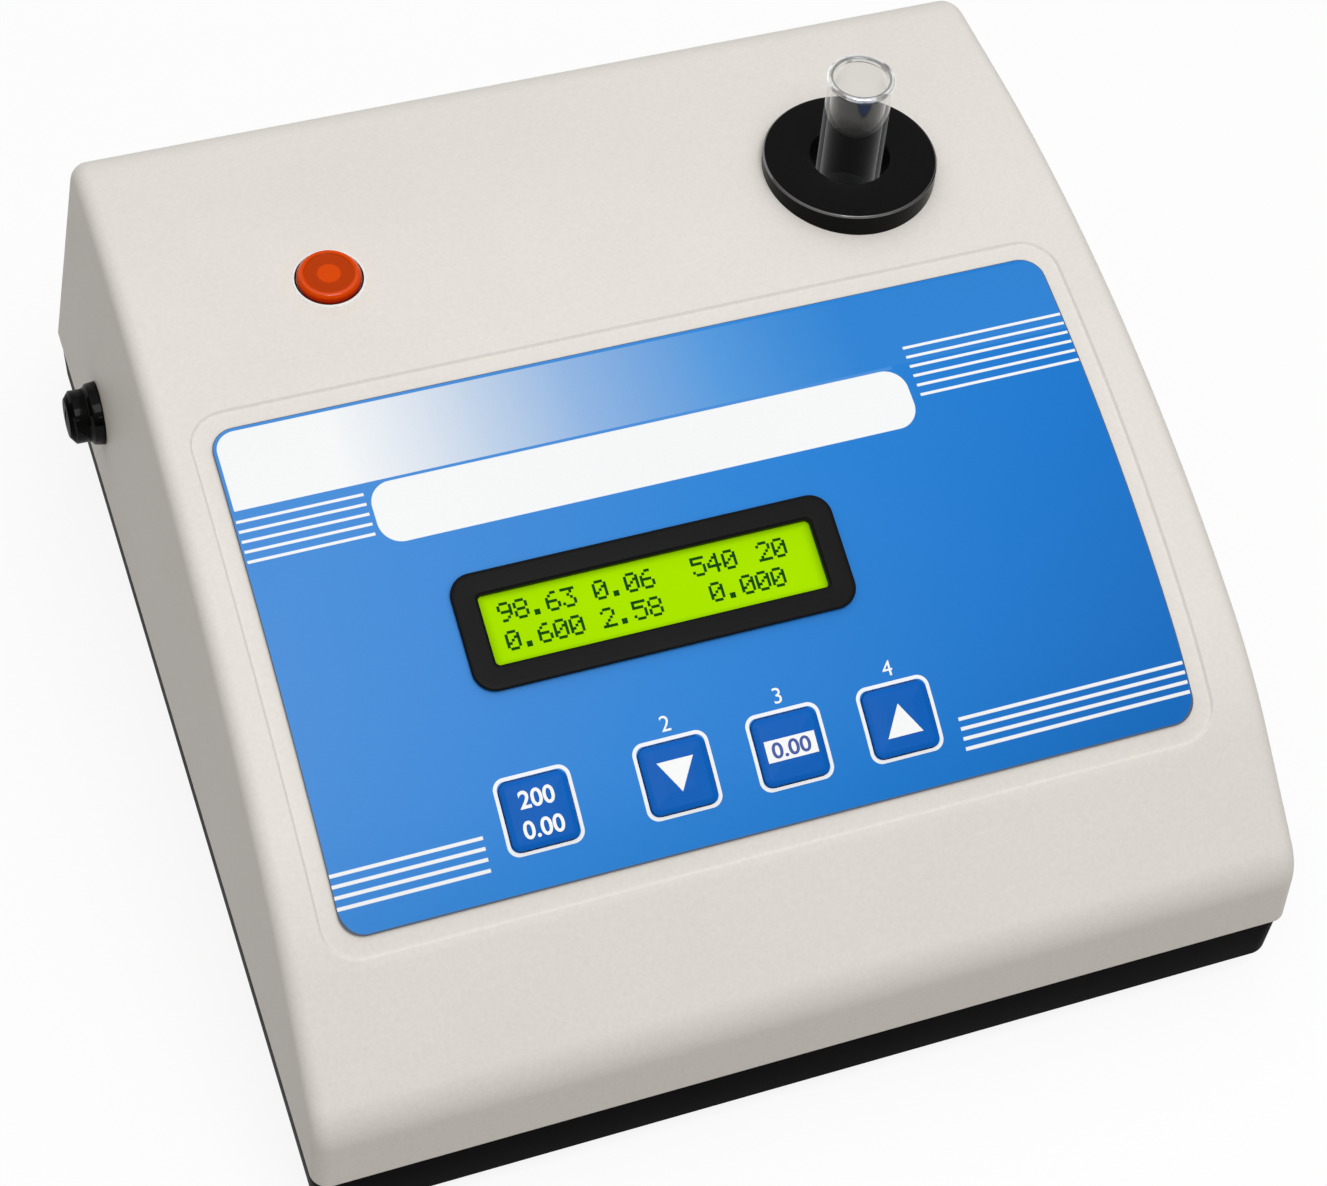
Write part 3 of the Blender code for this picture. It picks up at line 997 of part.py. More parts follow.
# Stations of the optical parts along the beam, from the well's wall towards the lamp
WHEEL_X = WELL_MIDDLE.x - NECK_RADIUS - WHEEL_STANDOFF
WHEEL_HEIGHT = BEAM_HEIGHT - WHEEL_PITCH_RADIUS      # the beam passes through the topmost filter
BRACKET_X = WHEEL_X - HUB_LENGTH / 2 - MOTOR_CLEARANCE
MOTOR_FACE = BRACKET_X - UPRIGHT_THICKNESS - GAP
HOLDER_X = MOTOR_FACE - MOTOR_LENGTH - GAP - HOLDER_THICKNESS / 2
BULB_TIP_X = HOLDER_X - HOLDER_THICKNESS / 2 - BULB_TO_LENS
SOCKET_TIP_X = BULB_TIP_X - BULB_LENGTH
DETECTOR_X = WELL_MIDDLE.x + NECK_RADIUS + GAP
DETECTOR_BOARD_X = DETECTOR_X + DETECTOR_LENGTH + GAP
DETECTOR_UPRIGHT_X = DETECTOR_BOARD_X + BOARD_THICKNESS + GAP


def along_x(x, height=BEAM_HEIGHT):
    """A frame over the bench with Z along +X."""
    return Matrix.Translation((x, WELL_MIDDLE.y, height)) @ Matrix.Rotation(math.pi / 2, 4, "Y")


def optics():
    """Bench with its uprights, lamp, lens, filter wheel with motor, and detector."""
    bench_low = BENCH_HEIGHT - BENCH_THICKNESS
    plate = slab(BENCH_LENGTH / 2, BENCH_WIDTH / 2, bench_low, BENCH_HEIGHT, KEY_RADIUS,
                 (CASE_X + BENCH_X, WELL_MIDDLE.y))
    bench = make("optical_bench", plate, ALUMINIUM)
    sink = BENCH_HEIGHT - BENCH_THICKNESS / 2
    half = UPRIGHT_WIDTH / 2
    beam_y = WELL_MIDDLE.y
    uprights = [
        box((BRACKET_X - UPRIGHT_THICKNESS, beam_y - half, sink),
            (BRACKET_X, beam_y + half, WHEEL_HEIGHT + MOTOR_RADIUS)),
        box((HOLDER_X - HOLDER_THICKNESS / 2, beam_y - half, sink),
            (HOLDER_X + HOLDER_THICKNESS / 2, beam_y + half, BEAM_HEIGHT + half)),
        box((SOCKET_TIP_X - SOCKET_LENGTH, beam_y - SOCKET_RADIUS, sink),
            (SOCKET_TIP_X - SOCKET_LENGTH / 2, beam_y + SOCKET_RADIUS, BEAM_HEIGHT - SOCKET_RADIUS - GAP)),
        box((DETECTOR_UPRIGHT_X, beam_y - half, sink),
            (DETECTOR_UPRIGHT_X + UPRIGHT_THICKNESS, beam_y + half, BEAM_HEIGHT + half))]
    combine(bench, cutter("add_uprights", merged(uprights)), "UNION")
    shaft_hole = rod(HUB_RADIUS, -OVERRUN, OVERRUN)
    combine(bench, cutter("cut_shaft", shaft_hole, along_x(BRACKET_X, WHEEL_HEIGHT)))
    lens_hole = rod(CONDENSER_RADIUS + GAP, -OVERRUN, OVERRUN)
    combine(bench, cutter("cut_lens_seat", lens_hole, along_x(HOLDER_X)))

    edge, bulge = CONDENSER_EDGE / 2, CONDENSER_EDGE / 2 + CONDENSER_BULGE
    waist = CONDENSER_RADIUS * math.sin(math.pi / 4)
    near = edge + CONDENSER_BULGE / 2
    lens = [(0, -bulge), (waist, -near), (CONDENSER_RADIUS, -edge), (CONDENSER_RADIUS, edge), (waist, near),
            (0, bulge)]
    make("condenser_lens", turned(lens, SMALL_SIDES), CLEAR_GLASS, along_x(HOLDER_X))
    round_end = [(BULB_RADIUS * math.cos(a), BULB_LENGTH - BULB_RADIUS + BULB_RADIUS * math.sin(a))
                 for a in (0, math.pi / 6, math.pi / 3)]
    bulb = [(0, GAP), (BULB_RADIUS, GAP)] + round_end + [(0, BULB_LENGTH)]
    make("source_lamp", turned(bulb, SMALL_SIDES), CLEAR_GLASS, along_x(SOCKET_TIP_X))
    make("lamp_socket", rod(SOCKET_RADIUS, -SOCKET_LENGTH, 0), WHITE_PLASTIC, along_x(SOCKET_TIP_X))

    wheel_place = along_x(WHEEL_X, WHEEL_HEIGHT)
    hub, rim = HUB_LENGTH / 2, WHEEL_THICKNESS / 2
    bore = SHAFT_RADIUS + GAP
    section = [(bore, -hub), (HUB_RADIUS, -hub), (HUB_RADIUS, -rim), (WHEEL_RADIUS, -rim),
               (WHEEL_RADIUS, rim), (HUB_RADIUS, rim), (HUB_RADIUS, hub), (bore, hub)]
    wheel = make("filter_wheel", turned(section, ROUND_SIDES, ring=True), BLACK_PLASTIC, wheel_place)
    seats = []
    for number in range(FILTER_COUNT):
        turn = Matrix.Rotation(math.pi + 2 * math.pi * number / FILTER_COUNT, 4, "Z") \
            @ Matrix.Translation((WHEEL_PITCH_RADIUS, 0, 0))
        seats.append(moved(rod(FILTER_RADIUS + GAP, -OVERRUN, OVERRUN), turn))
        make("filter_%d" % (number + 1), rod(FILTER_RADIUS, -FILTER_THICKNESS / 2, FILTER_THICKNESS / 2),
             CLEAR_GLASS, wheel_place @ turn)
    combine(wheel, cutter("cut_filter_seats", merged(seats), wheel_place))
    make("filter_shaft", rod(SHAFT_RADIUS, MOTOR_FACE + GAP - WHEEL_X, hub + GAP), STEEL, wheel_place)
    make("filter_motor", rod(MOTOR_RADIUS, -MOTOR_LENGTH, 0, MEDIUM_SIDES), STEEL,
         along_x(MOTOR_FACE, WHEEL_HEIGHT))

    can = turned([(DETECTOR_RADIUS, 0), (DETECTOR_RADIUS, DETECTOR_LENGTH)], SMALL_SIDES)
    make("photodiode", can, STEEL, along_x(DETECTOR_X))
    make("detector_board", box((-DETECTOR_BOARD_SIZE / 2, -DETECTOR_BOARD_SIZE / 2, 0),
                               (DETECTOR_BOARD_SIZE / 2, DETECTOR_BOARD_SIZE / 2, BOARD_THICKNESS)), BOARD,
         along_x(DETECTOR_BOARD_X))


DISPLAY_HOLE, KEY_HOLES = shared_holes()
top_cover()
front_overlay()
display()
keys()
sample_well()
indicator()
fuse_holder()
mains_inlet()
power_switch()
base_tray()
electronics()
optics()
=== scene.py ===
"""Looks of the bench colorimeter: a sloping moulded case with a blue label, a display and keys, a collar
with a glass tube, an orange indicator and a fuse holder, on a black tray."""
import math

import bmesh
import bpy
import numpy as np
from mathutils import Matrix, Vector
from mathutils.geometry import delaunay_2d_cdt


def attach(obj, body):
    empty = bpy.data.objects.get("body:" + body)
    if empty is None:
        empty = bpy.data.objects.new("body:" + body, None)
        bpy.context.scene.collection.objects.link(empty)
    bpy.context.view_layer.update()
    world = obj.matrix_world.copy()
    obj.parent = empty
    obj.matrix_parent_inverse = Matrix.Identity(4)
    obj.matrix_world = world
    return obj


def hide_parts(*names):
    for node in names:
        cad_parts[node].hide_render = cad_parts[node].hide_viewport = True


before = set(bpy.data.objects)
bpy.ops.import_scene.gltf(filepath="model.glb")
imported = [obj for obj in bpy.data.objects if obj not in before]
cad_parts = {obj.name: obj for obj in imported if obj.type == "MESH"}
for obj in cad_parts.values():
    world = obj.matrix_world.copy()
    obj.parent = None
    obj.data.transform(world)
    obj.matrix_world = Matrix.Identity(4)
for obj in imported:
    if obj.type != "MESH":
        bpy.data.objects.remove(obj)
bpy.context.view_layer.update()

# The set: the camera stands where the photograph was taken from, left of the middle, high up and a little
# rolled. The table is pale and curves up behind, under two soft lamps and a dome of light that is brightest
# overhead and glows faintly and warmly from below.
MM = 0.001
VIEW_AZIMUTH, VIEW_ELEVATION, VIEW_ROLL = math.radians(-23.5), math.radians(51.78), math.radians(5.534)
VIEW_DISTANCE, VIEW_LENS, SENSOR = 782.7 * MM, 79.79, 36
VIEW_TARGET, LAMP_TARGET = Vector((9.964, -5.5, 30)) * MM, Vector((0, 0, 60)) * MM
WARM_LOW = (0.295, 0.268, 0.234)
DOME_STOPS = ((0, WARM_LOW), (0.48, WARM_LOW), (0.5, (0, 0, 0)), (0.72, (0.28, 0.28, 0.28)), (1, (1, 1, 1)))
DOME_STRENGTH = 1.05
TABLE_HALF, TABLE_BEND, TABLE_RISE = 3.0, 1.2, 2.0


def linked(name, data):
    """A new object of some data, linked into the scene."""
    thing = bpy.data.objects.new(name, data)
    bpy.context.scene.collection.objects.link(thing)
    return thing


def placed(spot, *turns):
    """A 4 by 4 matrix that moves to a spot and then turns by angles about named axes, one after the other."""
    matrix = Matrix.Translation(spot)
    for angle, axis in turns:
        matrix = matrix @ Matrix.Rotation(angle, 4, axis)
    return np.array(matrix)


camera = linked("camera", bpy.data.cameras.new("camera"))
camera.data.lens, camera.data.sensor_width = VIEW_LENS, SENSOR
viewed = placed(VIEW_TARGET, (VIEW_AZIMUTH, "Z"), (math.pi / 2 - VIEW_ELEVATION, "X"), (VIEW_ROLL, "Z"))
camera.matrix_world = Matrix(viewed @ placed((0, 0, VIEW_DISTANCE)))
bpy.context.scene.camera = camera
bpy.context.scene.view_settings.view_transform = "Standard"


def soft_lamp(name, place, width, height, power):
    """A flat soft lamp at a place, shining at the middle of the case."""
    light = bpy.data.lights.new(name, "AREA")
    light.shape, light.size, light.size_y, light.energy = "RECTANGLE", width, height, power
    lamp = linked(name, light)
    lamp.location = place
    lamp.rotation_euler = (LAMP_TARGET - Vector(place)).to_track_quat("-Z", "Y").to_euler()


soft_lamp("lamp_overhead", (0.02, -0.5, 1.3), 0.7, 0.7, 6.3)
soft_lamp("lamp_front", (0.3, -1.22, 0.9), 1.1, 0.12, 1.3)


def grey(value):
    """A colour with the same red, green and blue."""
    return (value, value, value)


def worked(operation, place=0):
    """A method that adds a Math node, in which its own value comes first, or second where it is reflected."""
    def method(self, other=0.0):
        return self.node("Math", {"operation": operation}, {place: self, 1 - place: other})
    return method


class Socket:
    """One output of a node in a material, with arithmetic that adds Math nodes beside it. Of two values, over
    is the larger and under the smaller."""
    __add__ = __radd__ = worked("ADD")
    __mul__ = __rmul__ = worked("MULTIPLY")
    __sub__, __rsub__, __truediv__ = worked("SUBTRACT"), worked("SUBTRACT", 1), worked("DIVIDE")
    __pow__, __abs__, __round__ = worked("POWER"), worked("ABSOLUTE"), worked("ROUND")
    root, over, under = worked("SQRT"), worked("MAXIMUM"), worked("MINIMUM")

    def __init__(self, tree, socket):
        self.tree, self.socket = tree, socket

    def node(self, kind, settings=None, values=None, output=0):
        """Add a node of a type, give it its settings, then values or links to its sockets."""
        made = self.tree.nodes.new("ShaderNode" + kind)
        for name, setting in (settings or {}).items():
            if name == "stops":
                ramp = made.color_ramp.elements
                while len(ramp) < len(setting):
                    ramp.new(0.5)
                for stop, (place, colour) in zip(ramp, setting):
                    stop.position, stop.color = place, (*colour, 1)
            else:
                setattr(made, name, setting)
        for key, value in (values or {}).items():
            if isinstance(value, Socket):
                self.tree.links.new(value.socket, made.inputs[key])
            else:
                made.inputs[key].default_value = value
        return Socket(self.tree, made.outputs[output])

    def step(self, low, high):
        """A smooth step from 0 at the first value to 1 at the second, which may be the lower one."""
        return self.node("MapRange", {"interpolation_type": "SMOOTHSTEP"},
                         {"Value": self, "From Min": low, "From Max": high})

    def grain(self, scale, detail=2.0, roughness=0.5):
        """Noise over this place, with a number of grains to the metre."""
        return self.node("TexNoise", {}, {"Vector": self, "Scale": scale, "Detail": detail, "Roughness": roughness})

    def choose(self, when_off, when_on):
        """The first colour where this mask is 0 and the second where it is 1."""
        colours = [c if isinstance(c, Socket) else (*c, 1) for c in (when_off, when_on)]
        return self.node("Mix", {"data_type": "RGBA"}, {0: self, 6: colours[0], 7: colours[1]}, 2)

    def ramp(self, stops):
        """The colour of this value on a ramp of stops, each a place from 0 to 1 and a colour."""
        return self.node("ValToRGB", {"stops": stops}, {0: self})

    def part(self, number):
        """One of the three numbers of a place."""
        return self.node("SeparateXYZ", {}, {0: self}, number)

    def from_axis(self, centre, first=0, second=1):
        """Distance of this place from a line through a centre: the root of the sum of two squared offsets."""
        a, b = (self.part(axis) - centre[axis] for axis in (first, second))
        return (a * a + b * b).root()


def new_finish(name):
    """An empty material, as the place in the object that a pattern is worked out from."""
    made = bpy.data.materials.new(name)
    made.use_nodes = True
    return Socket(made.node_tree, made.node_tree.nodes.new("ShaderNodeTexCoord").outputs["Object"])


def finished(place, colour, roughness, height=None, depth=0.0, gloss=0.5, **constants):
    """The material of a place: its colour and roughness, a relief of a height pattern, as deep as a number of
    millimetres, and plain constants."""
    shader = place.tree.nodes["Principled BSDF"]
    values = {"Base Color": colour, "Roughness": roughness, "Specular IOR Level": gloss}
    if height is not None:
        values["Normal"] = place.node("Bump", {}, {"Height": height, "Distance": depth * MM})
    for key, value in (values | constants).items():
        slot = shader.inputs[key.replace("_", " ")]
        if isinstance(value, Socket):
            place.tree.links.new(value.socket, slot)
        else:
            slot.default_value = (*value, 1) if slot.type == "RGBA" else value
    return next(made for made in bpy.data.materials if made.node_tree == place.tree)


room = bpy.data.worlds.new("room")
room.use_nodes = True
background = room.node_tree.nodes["Background"]
direction = Socket(room.node_tree, room.node_tree.nodes.new("ShaderNodeTexCoord").outputs["Generated"])
dome = (direction.part(2) * 0.5 + 0.5).ramp(DOME_STOPS)
room.node_tree.links.new(dome.socket, background.inputs["Color"])
background.inputs["Strength"].default_value = DOME_STRENGTH
bpy.context.scene.world = room

bend = np.linspace(0, math.pi / 2, 17)
table_line = np.vstack([[-TABLE_HALF, 0],
                        np.stack([TABLE_HALF + TABLE_BEND * np.sin(bend), TABLE_BEND * (1 - np.cos(bend))], 1),
                        [TABLE_HALF + TABLE_BEND, TABLE_BEND + TABLE_RISE]])
table_points = np.zeros((len(table_line), 2, 3))
table_points[:, :, 1:] = table_line[:, None]
table_points[:, :, 0] = (-2 * TABLE_HALF, 2 * TABLE_HALF)


def numbered(rows, columns):
    """The corner numbers of a grid of points."""
    return np.arange(rows * columns).reshape(rows, columns)


def quads(index):
    """The faces between the rows and columns of a grid of corner numbers."""
    return np.stack([index[:-1, :-1], index[:-1, 1:], index[1:, 1:], index[1:, :-1]], -1).reshape(-1, 4)


table_mesh = bpy.data.meshes.new("table")
table_mesh.from_pydata(table_points.reshape(-1, 3), [], quads(numbered(len(table_line), 2)).tolist())
table_mesh.shade_smooth()
table_mesh.materials.append(finished(new_finish("table_paint"), grey(0.12), 0.9, gloss=0.1,
                                     Emission_Color=grey(1), Emission_Strength=0.87))
table = linked("table", table_mesh)
table.visible_diffuse = False

# The case's top cover is one moulding in off-white plastic, with a fine matt grain, rounded shoulders and
# a shallow recess for the label. Its side outline is a nose, a straight slope, two long bends and a level
# top, and every crossing of it is the same width but for the draft of the side walls.


def mm(*sizes):
    """Sizes in millimetres, turned to metres."""
    return np.array(sizes) * MM


CASE_X, FRONT_Y = mm(3.774, -142.5)
CASE_WIDTH, CASE_DEPTH, SEAM, NOSE = mm(252.6, 285, 22, 43.3)
NOSE_RADIUS, REAR_RADIUS, SHOULDER, WALL = mm(16, 12, 4.5, 2.6)
SLOPE_RUN, BEND_RADIUS, LEVEL_RUN = mm(27, 122, 30)
SIDE_DRAFT, FRONT_DRAFT, REAR_DRAFT = math.radians(2.9), math.radians(3), math.radians(22)
FOOT_DROP = 6 * MM                    # the wall is drawn this far below the seam, then cut at it
LABEL_X, LABEL_Y, LABEL_RADIUS = mm(-109, 105.25), mm(33, 149.8), 6 * MM
RECESS_X, RECESS_Y, RECESS_RADIUS = mm(-113.8, 110.2), mm(28.9, 155.2), 9.5 * MM
RECESS_DEPTH, RECESS_STEP = mm(0.6, 0.5)
FLAT_HALF = 114.9 * MM                # the flat of the top reaches this far, then the shoulder starts
FINE, COARSE, ARC_STEP, WELD, EDGE_ROUND = mm(0.3, 8, 0.1, 0.0005, 0.4)
BALL_STEPS, SHARP, BROKEN = 13, math.radians(32), math.radians(50)
KEY_XS, KEY_Y = mm(-58.4, -24.6, 3.4, 31.4), 47.7 * MM
DISPLAY_X, DISPLAY_Y = mm(-17.6, 87.4)
WELL_X, WELL_Y = mm(68.5, 188.4)
LENS_X, LENS_Y = mm(-69.3, 186.3)
INLET_X, SWITCH_X, REAR_HEIGHT = mm(66, 14, 62)
FUSE_Y, FUSE_HEIGHT = mm(220.8, 52.4)
KEY_HOLE, DISPLAY_HOLE, WELL_HOLE = (8.4, 8.4), (44.3, 11.5), (14.5, 14.5)      # half widths and heights in mm
LENS_HOLE, INLET_HOLE, SWITCH_HOLE = (5.6, 5.6), (14.7, 10.7), (9.1, 6.1)
SHELL_COLOUR = (0.79, 0.752, 0.70)

front, slope, middle, level, rear = (math.radians(angle) for angle in (177, 132, 116.7, 90, 22))


def facing(angle):
    """Unit vector at an angle in the plane of the side outline."""
    return np.array((math.cos(angle), math.sin(angle)))


def arc(centre, radius, start, end):
    """Points a tenth of a millimetre apart on an arc, each with the angle that it faces."""
    turn = np.linspace(start, end, int(abs(end - start) * radius / ARC_STEP) + 2)
    return np.stack([centre[0] + radius * np.cos(turn), centre[1] + radius * np.sin(turn), turn], 1)


def corner_centre(corner, radius, one, other):
    """Centre of the arc that rounds a corner between two straight lines that face two ways."""
    return corner - (facing(one) + facing(other)) * radius / (1 + facing(one) @ facing(other))


nose_corner = np.array((FRONT_Y + math.tan(FRONT_DRAFT) * (NOSE - SEAM), NOSE))
nose_centre = corner_centre(nose_corner, NOSE_RADIUS, front, slope)
slope_y = FRONT_Y + SLOPE_RUN
slope_end = np.array((slope_y, NOSE + math.tan(slope - level) * (slope_y - nose_corner[0])))
bend_centre = slope_end - facing(slope) * BEND_RADIUS
bend_end = bend_centre + facing(middle) * BEND_RADIUS
rear_slant = math.tan(REAR_DRAFT)
crest_run = -FRONT_Y - LEVEL_RUN - bend_end[0] - rear_slant * (bend_end[1] - SEAM)
crest_radius = crest_run / (math.sin(middle - level) + rear_slant * (1 - math.cos(middle - level)))
crest_centre = bend_end - facing(middle) * crest_radius
case_top = crest_centre[1] + crest_radius
rear_corner = np.array((-FRONT_Y - rear_slant * (case_top - SEAM), case_top))
rear_centre = corner_centre(rear_corner, REAR_RADIUS, level, rear)
outline_parts = [np.array([[FRONT_Y - FOOT_DROP * math.tan(FRONT_DRAFT), SEAM - FOOT_DROP, front]]),
                 arc(nose_centre, NOSE_RADIUS, front, slope), arc(bend_centre, BEND_RADIUS, slope, middle),
                 arc(crest_centre, crest_radius, middle, level), arc(rear_centre, REAR_RADIUS, level, rear),
                 np.array([[-FRONT_Y + FOOT_DROP * rear_slant, SEAM - FOOT_DROP, rear]])]
outline = np.vstack(outline_parts)
length = np.append(0, np.cumsum(np.hypot(*np.diff(outline[:, :2], axis=0).T)))


def along(y):
    """Length along the side outline, from its front foot, at a depth from the case's front edge."""
    return np.interp(FRONT_Y + np.asarray(y), outline[:, 0], length)


def skin(x, s, rise=0.0):
    """A point of the cover: the side outline at a length s, moved out along the way it faces by a rise,
    and set at a distance x from the case's middle line."""
    angle = np.interp(s, length, outline[:, 2])
    y = np.interp(s, length, outline[:, 0]) + rise * np.cos(angle)
    z = np.interp(s, length, outline[:, 1]) + rise * np.sin(angle)
    return np.stack(np.broadcast_arrays(CASE_X + x, y, z), -1)


def box_distance(x, y, across_range, up_range, radius):
    """Distance outside (or, below zero, inside) a rectangle with round corners."""
    out_x = np.abs(x - sum(across_range) / 2) - (across_range[1] - across_range[0]) / 2 + radius
    out_y = np.abs(y - sum(up_range) / 2) - (up_range[1] - up_range[0]) / 2 + radius
    beyond = np.hypot(np.maximum(out_x, 0), np.maximum(out_y, 0))
    return beyond + np.minimum(np.maximum(out_x, out_y), 0) - radius


def ruled(marks, widest):
    """Grid lines through all the marks, closer together than the widest gap allowed between two of them."""
    marks = np.unique(np.round(marks, 7))
    runs = [np.linspace(a, b, max(2, math.ceil((b - a) / widest((a + b) / 2)) + 1))[:-1]
            for a, b in zip(marks, marks[1:])]
    return np.append(np.concatenate(runs), marks[-1])


rear_wall = along(-2 * FRONT_Y - rear_slant * (REAR_HEIGHT - SEAM))
openings = [(x, along(KEY_Y), KEY_HOLE) for x in KEY_XS]
openings += [(DISPLAY_X, along(DISPLAY_Y), DISPLAY_HOLE), (WELL_X, along(WELL_Y), WELL_HOLE),
             (LENS_X, along(LENS_Y), LENS_HOLE), (INLET_X, rear_wall, INLET_HOLE), (SWITCH_X, rear_wall, SWITCH_HOLE)]
holes = np.array([(x - wide * MM, x + wide * MM, s - high * MM, s + high * MM) for x, s, (wide, high) in openings])
recess_s = tuple(along(RECESS_Y))
corner_reach = RECESS_RADIUS + RECESS_STEP
part_ends = length[np.cumsum([len(part) for part in outline_parts]) - 1]
part_radii = (NOSE_RADIUS, NOSE_RADIUS, BEND_RADIUS, crest_radius, REAR_RADIUS, BEND_RADIUS)


def gap_across(x):
    """Grid gaps are fine where the recess has its corners and coarse elsewhere."""
    return FINE if 0 < min(x - RECESS_X[0], RECESS_X[1] - x) < corner_reach else COARSE


def gap_along(s):
    """Grid gaps along the outline: fine at the recess's corners, short on the tight arcs."""
    if 0 < min(s - recess_s[0], recess_s[1] - s) < corner_reach:
        return FINE
    return 0.02 * part_radii[np.searchsorted(part_ends, s)] + 0.2 * MM


x_marks = (-FLAT_HALF, FLAT_HALF, *RECESS_X, RECESS_X[0] + corner_reach, RECESS_X[1] - corner_reach)
x_lines = ruled([*x_marks, *holes[:, :2].ravel()], gap_across)
s_marks = (*part_ends, *recess_s, recess_s[0] + corner_reach, recess_s[1] - corner_reach)
s_lines = ruled([*s_marks, *holes[:, 2:].ravel()], gap_along)[:, None]
recess_in = np.clip(-box_distance(x_lines, s_lines, RECESS_X, recess_s, RECESS_RADIUS) / RECESS_STEP, 0, 1)
top_sheet = skin(x_lines, s_lines, -RECESS_DEPTH * recess_in ** 2 * (3 - 2 * recess_in))

# Shoulder: a ball of the shoulder's radius rolls between the top and the drafted side wall. The wall's grid
# then runs straight down to a foot line under the seam.
faced = np.interp(s_lines, length, outline[:, 2])
ball = skin(0, s_lines, -SHOULDER)
top_way = np.concatenate([0 * faced, np.cos(faced), np.sin(faced)], 1)[:, None]
half_width = CASE_WIDTH / 2 - math.tan(SIDE_DRAFT) * (ball[..., 2:] - SEAM) - SHOULDER / math.cos(SIDE_DRAFT)
roll = np.linspace(0, 1, BALL_STEPS)[:, None]
foot_y = np.interp(s_lines[:, 0], s_lines[[0, -1], 0], ball[[0, -1], 0, 1])
sides = []
for side in (-1, 1):
    wall_way = np.array((side * math.cos(SIDE_DRAFT), 0, math.sin(SIDE_DRAFT)))
    between = np.arccos(top_way @ wall_way)[..., None]
    turned_way = (np.sin((1 - roll) * between) * top_way + np.sin(roll * between) * wall_way) / np.sin(between)
    shoulder = ball + half_width * (side, 0, 0) + SHOULDER * turned_way
    foot = np.stack([np.full(len(s_lines), CASE_X + side * (CASE_WIDTH / 2 + FOOT_DROP * math.tan(SIDE_DRAFT))),
                     foot_y, np.full(len(s_lines), SEAM - FOOT_DROP)], 1)[:, None]
    wall = shoulder[:, -1:] + (foot - shoulder[:, -1:]) * roll[1:]
    sides.append(np.concatenate([shoulder, wall], 1))
shell_points = np.concatenate([sides[0][:, ::-1], top_sheet, sides[1]], 1)
rows, columns = shell_points.shape[:2]
start = sides[0].shape[1]
face_x = np.full((rows - 1, columns - 1), np.inf)
face_x[:, start:start + len(x_lines) - 1] = (x_lines[1:] + x_lines[:-1]) / 2
face_s = np.broadcast_to((s_lines[1:] + s_lines[:-1]) / 2, face_x.shape)
open_faces = np.zeros(face_x.shape, bool)
for low_x, high_x, low_s, high_s in holes:
    open_faces |= (face_x > low_x) & (face_x < high_x) & (face_s > low_s) & (face_s < high_s)
shell_faces = quads(numbered(rows, columns))[~open_faces.ravel()]


def moulded(name, colour, roughness, grain, depth, spread, gloss=0.3):
    """Moulded plastic: a fine spark-eroded grain in relief, with faint cloudy changes of tone and gloss."""
    place = new_finish(name)
    fine = place.grain(grain, 3.0, 0.6)
    cloud = place.grain(28, 3.0, 0.55)
    tone = (fine - 0.5) * spread + (cloud - 0.5) * (0.4 * spread)
    shade = place.node("HueSaturation", {}, {"Color": (*colour, 1), "Value": tone + 1})
    return finished(place, shade, (cloud - 0.5) * 0.12 + (fine - 0.5) * 0.1 + roughness, fine, depth, gloss)


def shown(name, mesh, finish, body, slot, nodes=()):
    """A piece of one mesh and finish, which rides on a body and stands for CAD nodes, if any are named."""
    mesh.materials.clear()
    mesh.materials.append(finish)
    thing = linked(name, mesh)
    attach(thing, body)
    if nodes:
        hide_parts(*nodes)
    return thing


def piece(name, points, faces, *rest):
    """A piece of points and faces, welded and smooth but for edges sharper than a limit."""
    mesh = bpy.data.meshes.new(name)
    mesh.from_pydata(np.asarray(points).reshape(-1, 3), [], faces if isinstance(faces, list) else faces.tolist())
    welded = bmesh.new()
    welded.from_mesh(mesh)
    bmesh.ops.remove_doubles(welded, verts=welded.verts, dist=WELD)
    welded.to_mesh(mesh)
    welded.free()
    mesh.shade_smooth()
    mesh.set_sharp_from_angle(angle=SHARP)
    return shown(name, mesh, *rest)


shell_finish = moulded("shell_plastic", SHELL_COLOUR, 0.5, 900, 0.06, 0.14)
shell = piece("shell", shell_points, shell_faces, shell_finish, "case", "shell", ["top_cover"])
cut = bmesh.new()
cut.from_mesh(shell.data)
bmesh.ops.bisect_plane(cut, geom=cut.verts[:] + cut.edges[:] + cut.faces[:], plane_co=(0, 0, SEAM),
                       plane_no=(0, 0, 1), clear_inner=True)
cut.to_mesh(shell.data)
cut.free()
thick = shell.modifiers.new("wall", "SOLIDIFY")
thick.thickness, thick.offset, thick.use_even_offset = WALL, -1, True
edge = shell.modifiers.new("edge", "BEVEL")
edge.width, edge.segments, edge.limit_method, edge.angle_limit = EDGE_ROUND, 2, "ANGLE", BROKEN

# The hole of the fuse holder is drilled square to the left wall, 52 mm up. Every other turned, moulded or
# drilled form of the instrument is a profile carried round in the same way.
HOLE_RADIUS, ROUND = 6.3, 96
wall_x = CASE_X - CASE_WIDTH / 2 + math.tan(SIDE_DRAFT) * (FUSE_HEIGHT - SEAM)
fuse_place = placed((wall_x, FRONT_Y + FUSE_Y, FUSE_HEIGHT), (SIDE_DRAFT - math.pi / 2, "Y"))


def carried(points, place=None):
    """Points carried to a place given by a 4 by 4 matrix."""
    return points if place is None else points @ place[:3, :3].T + place[:3, 3]


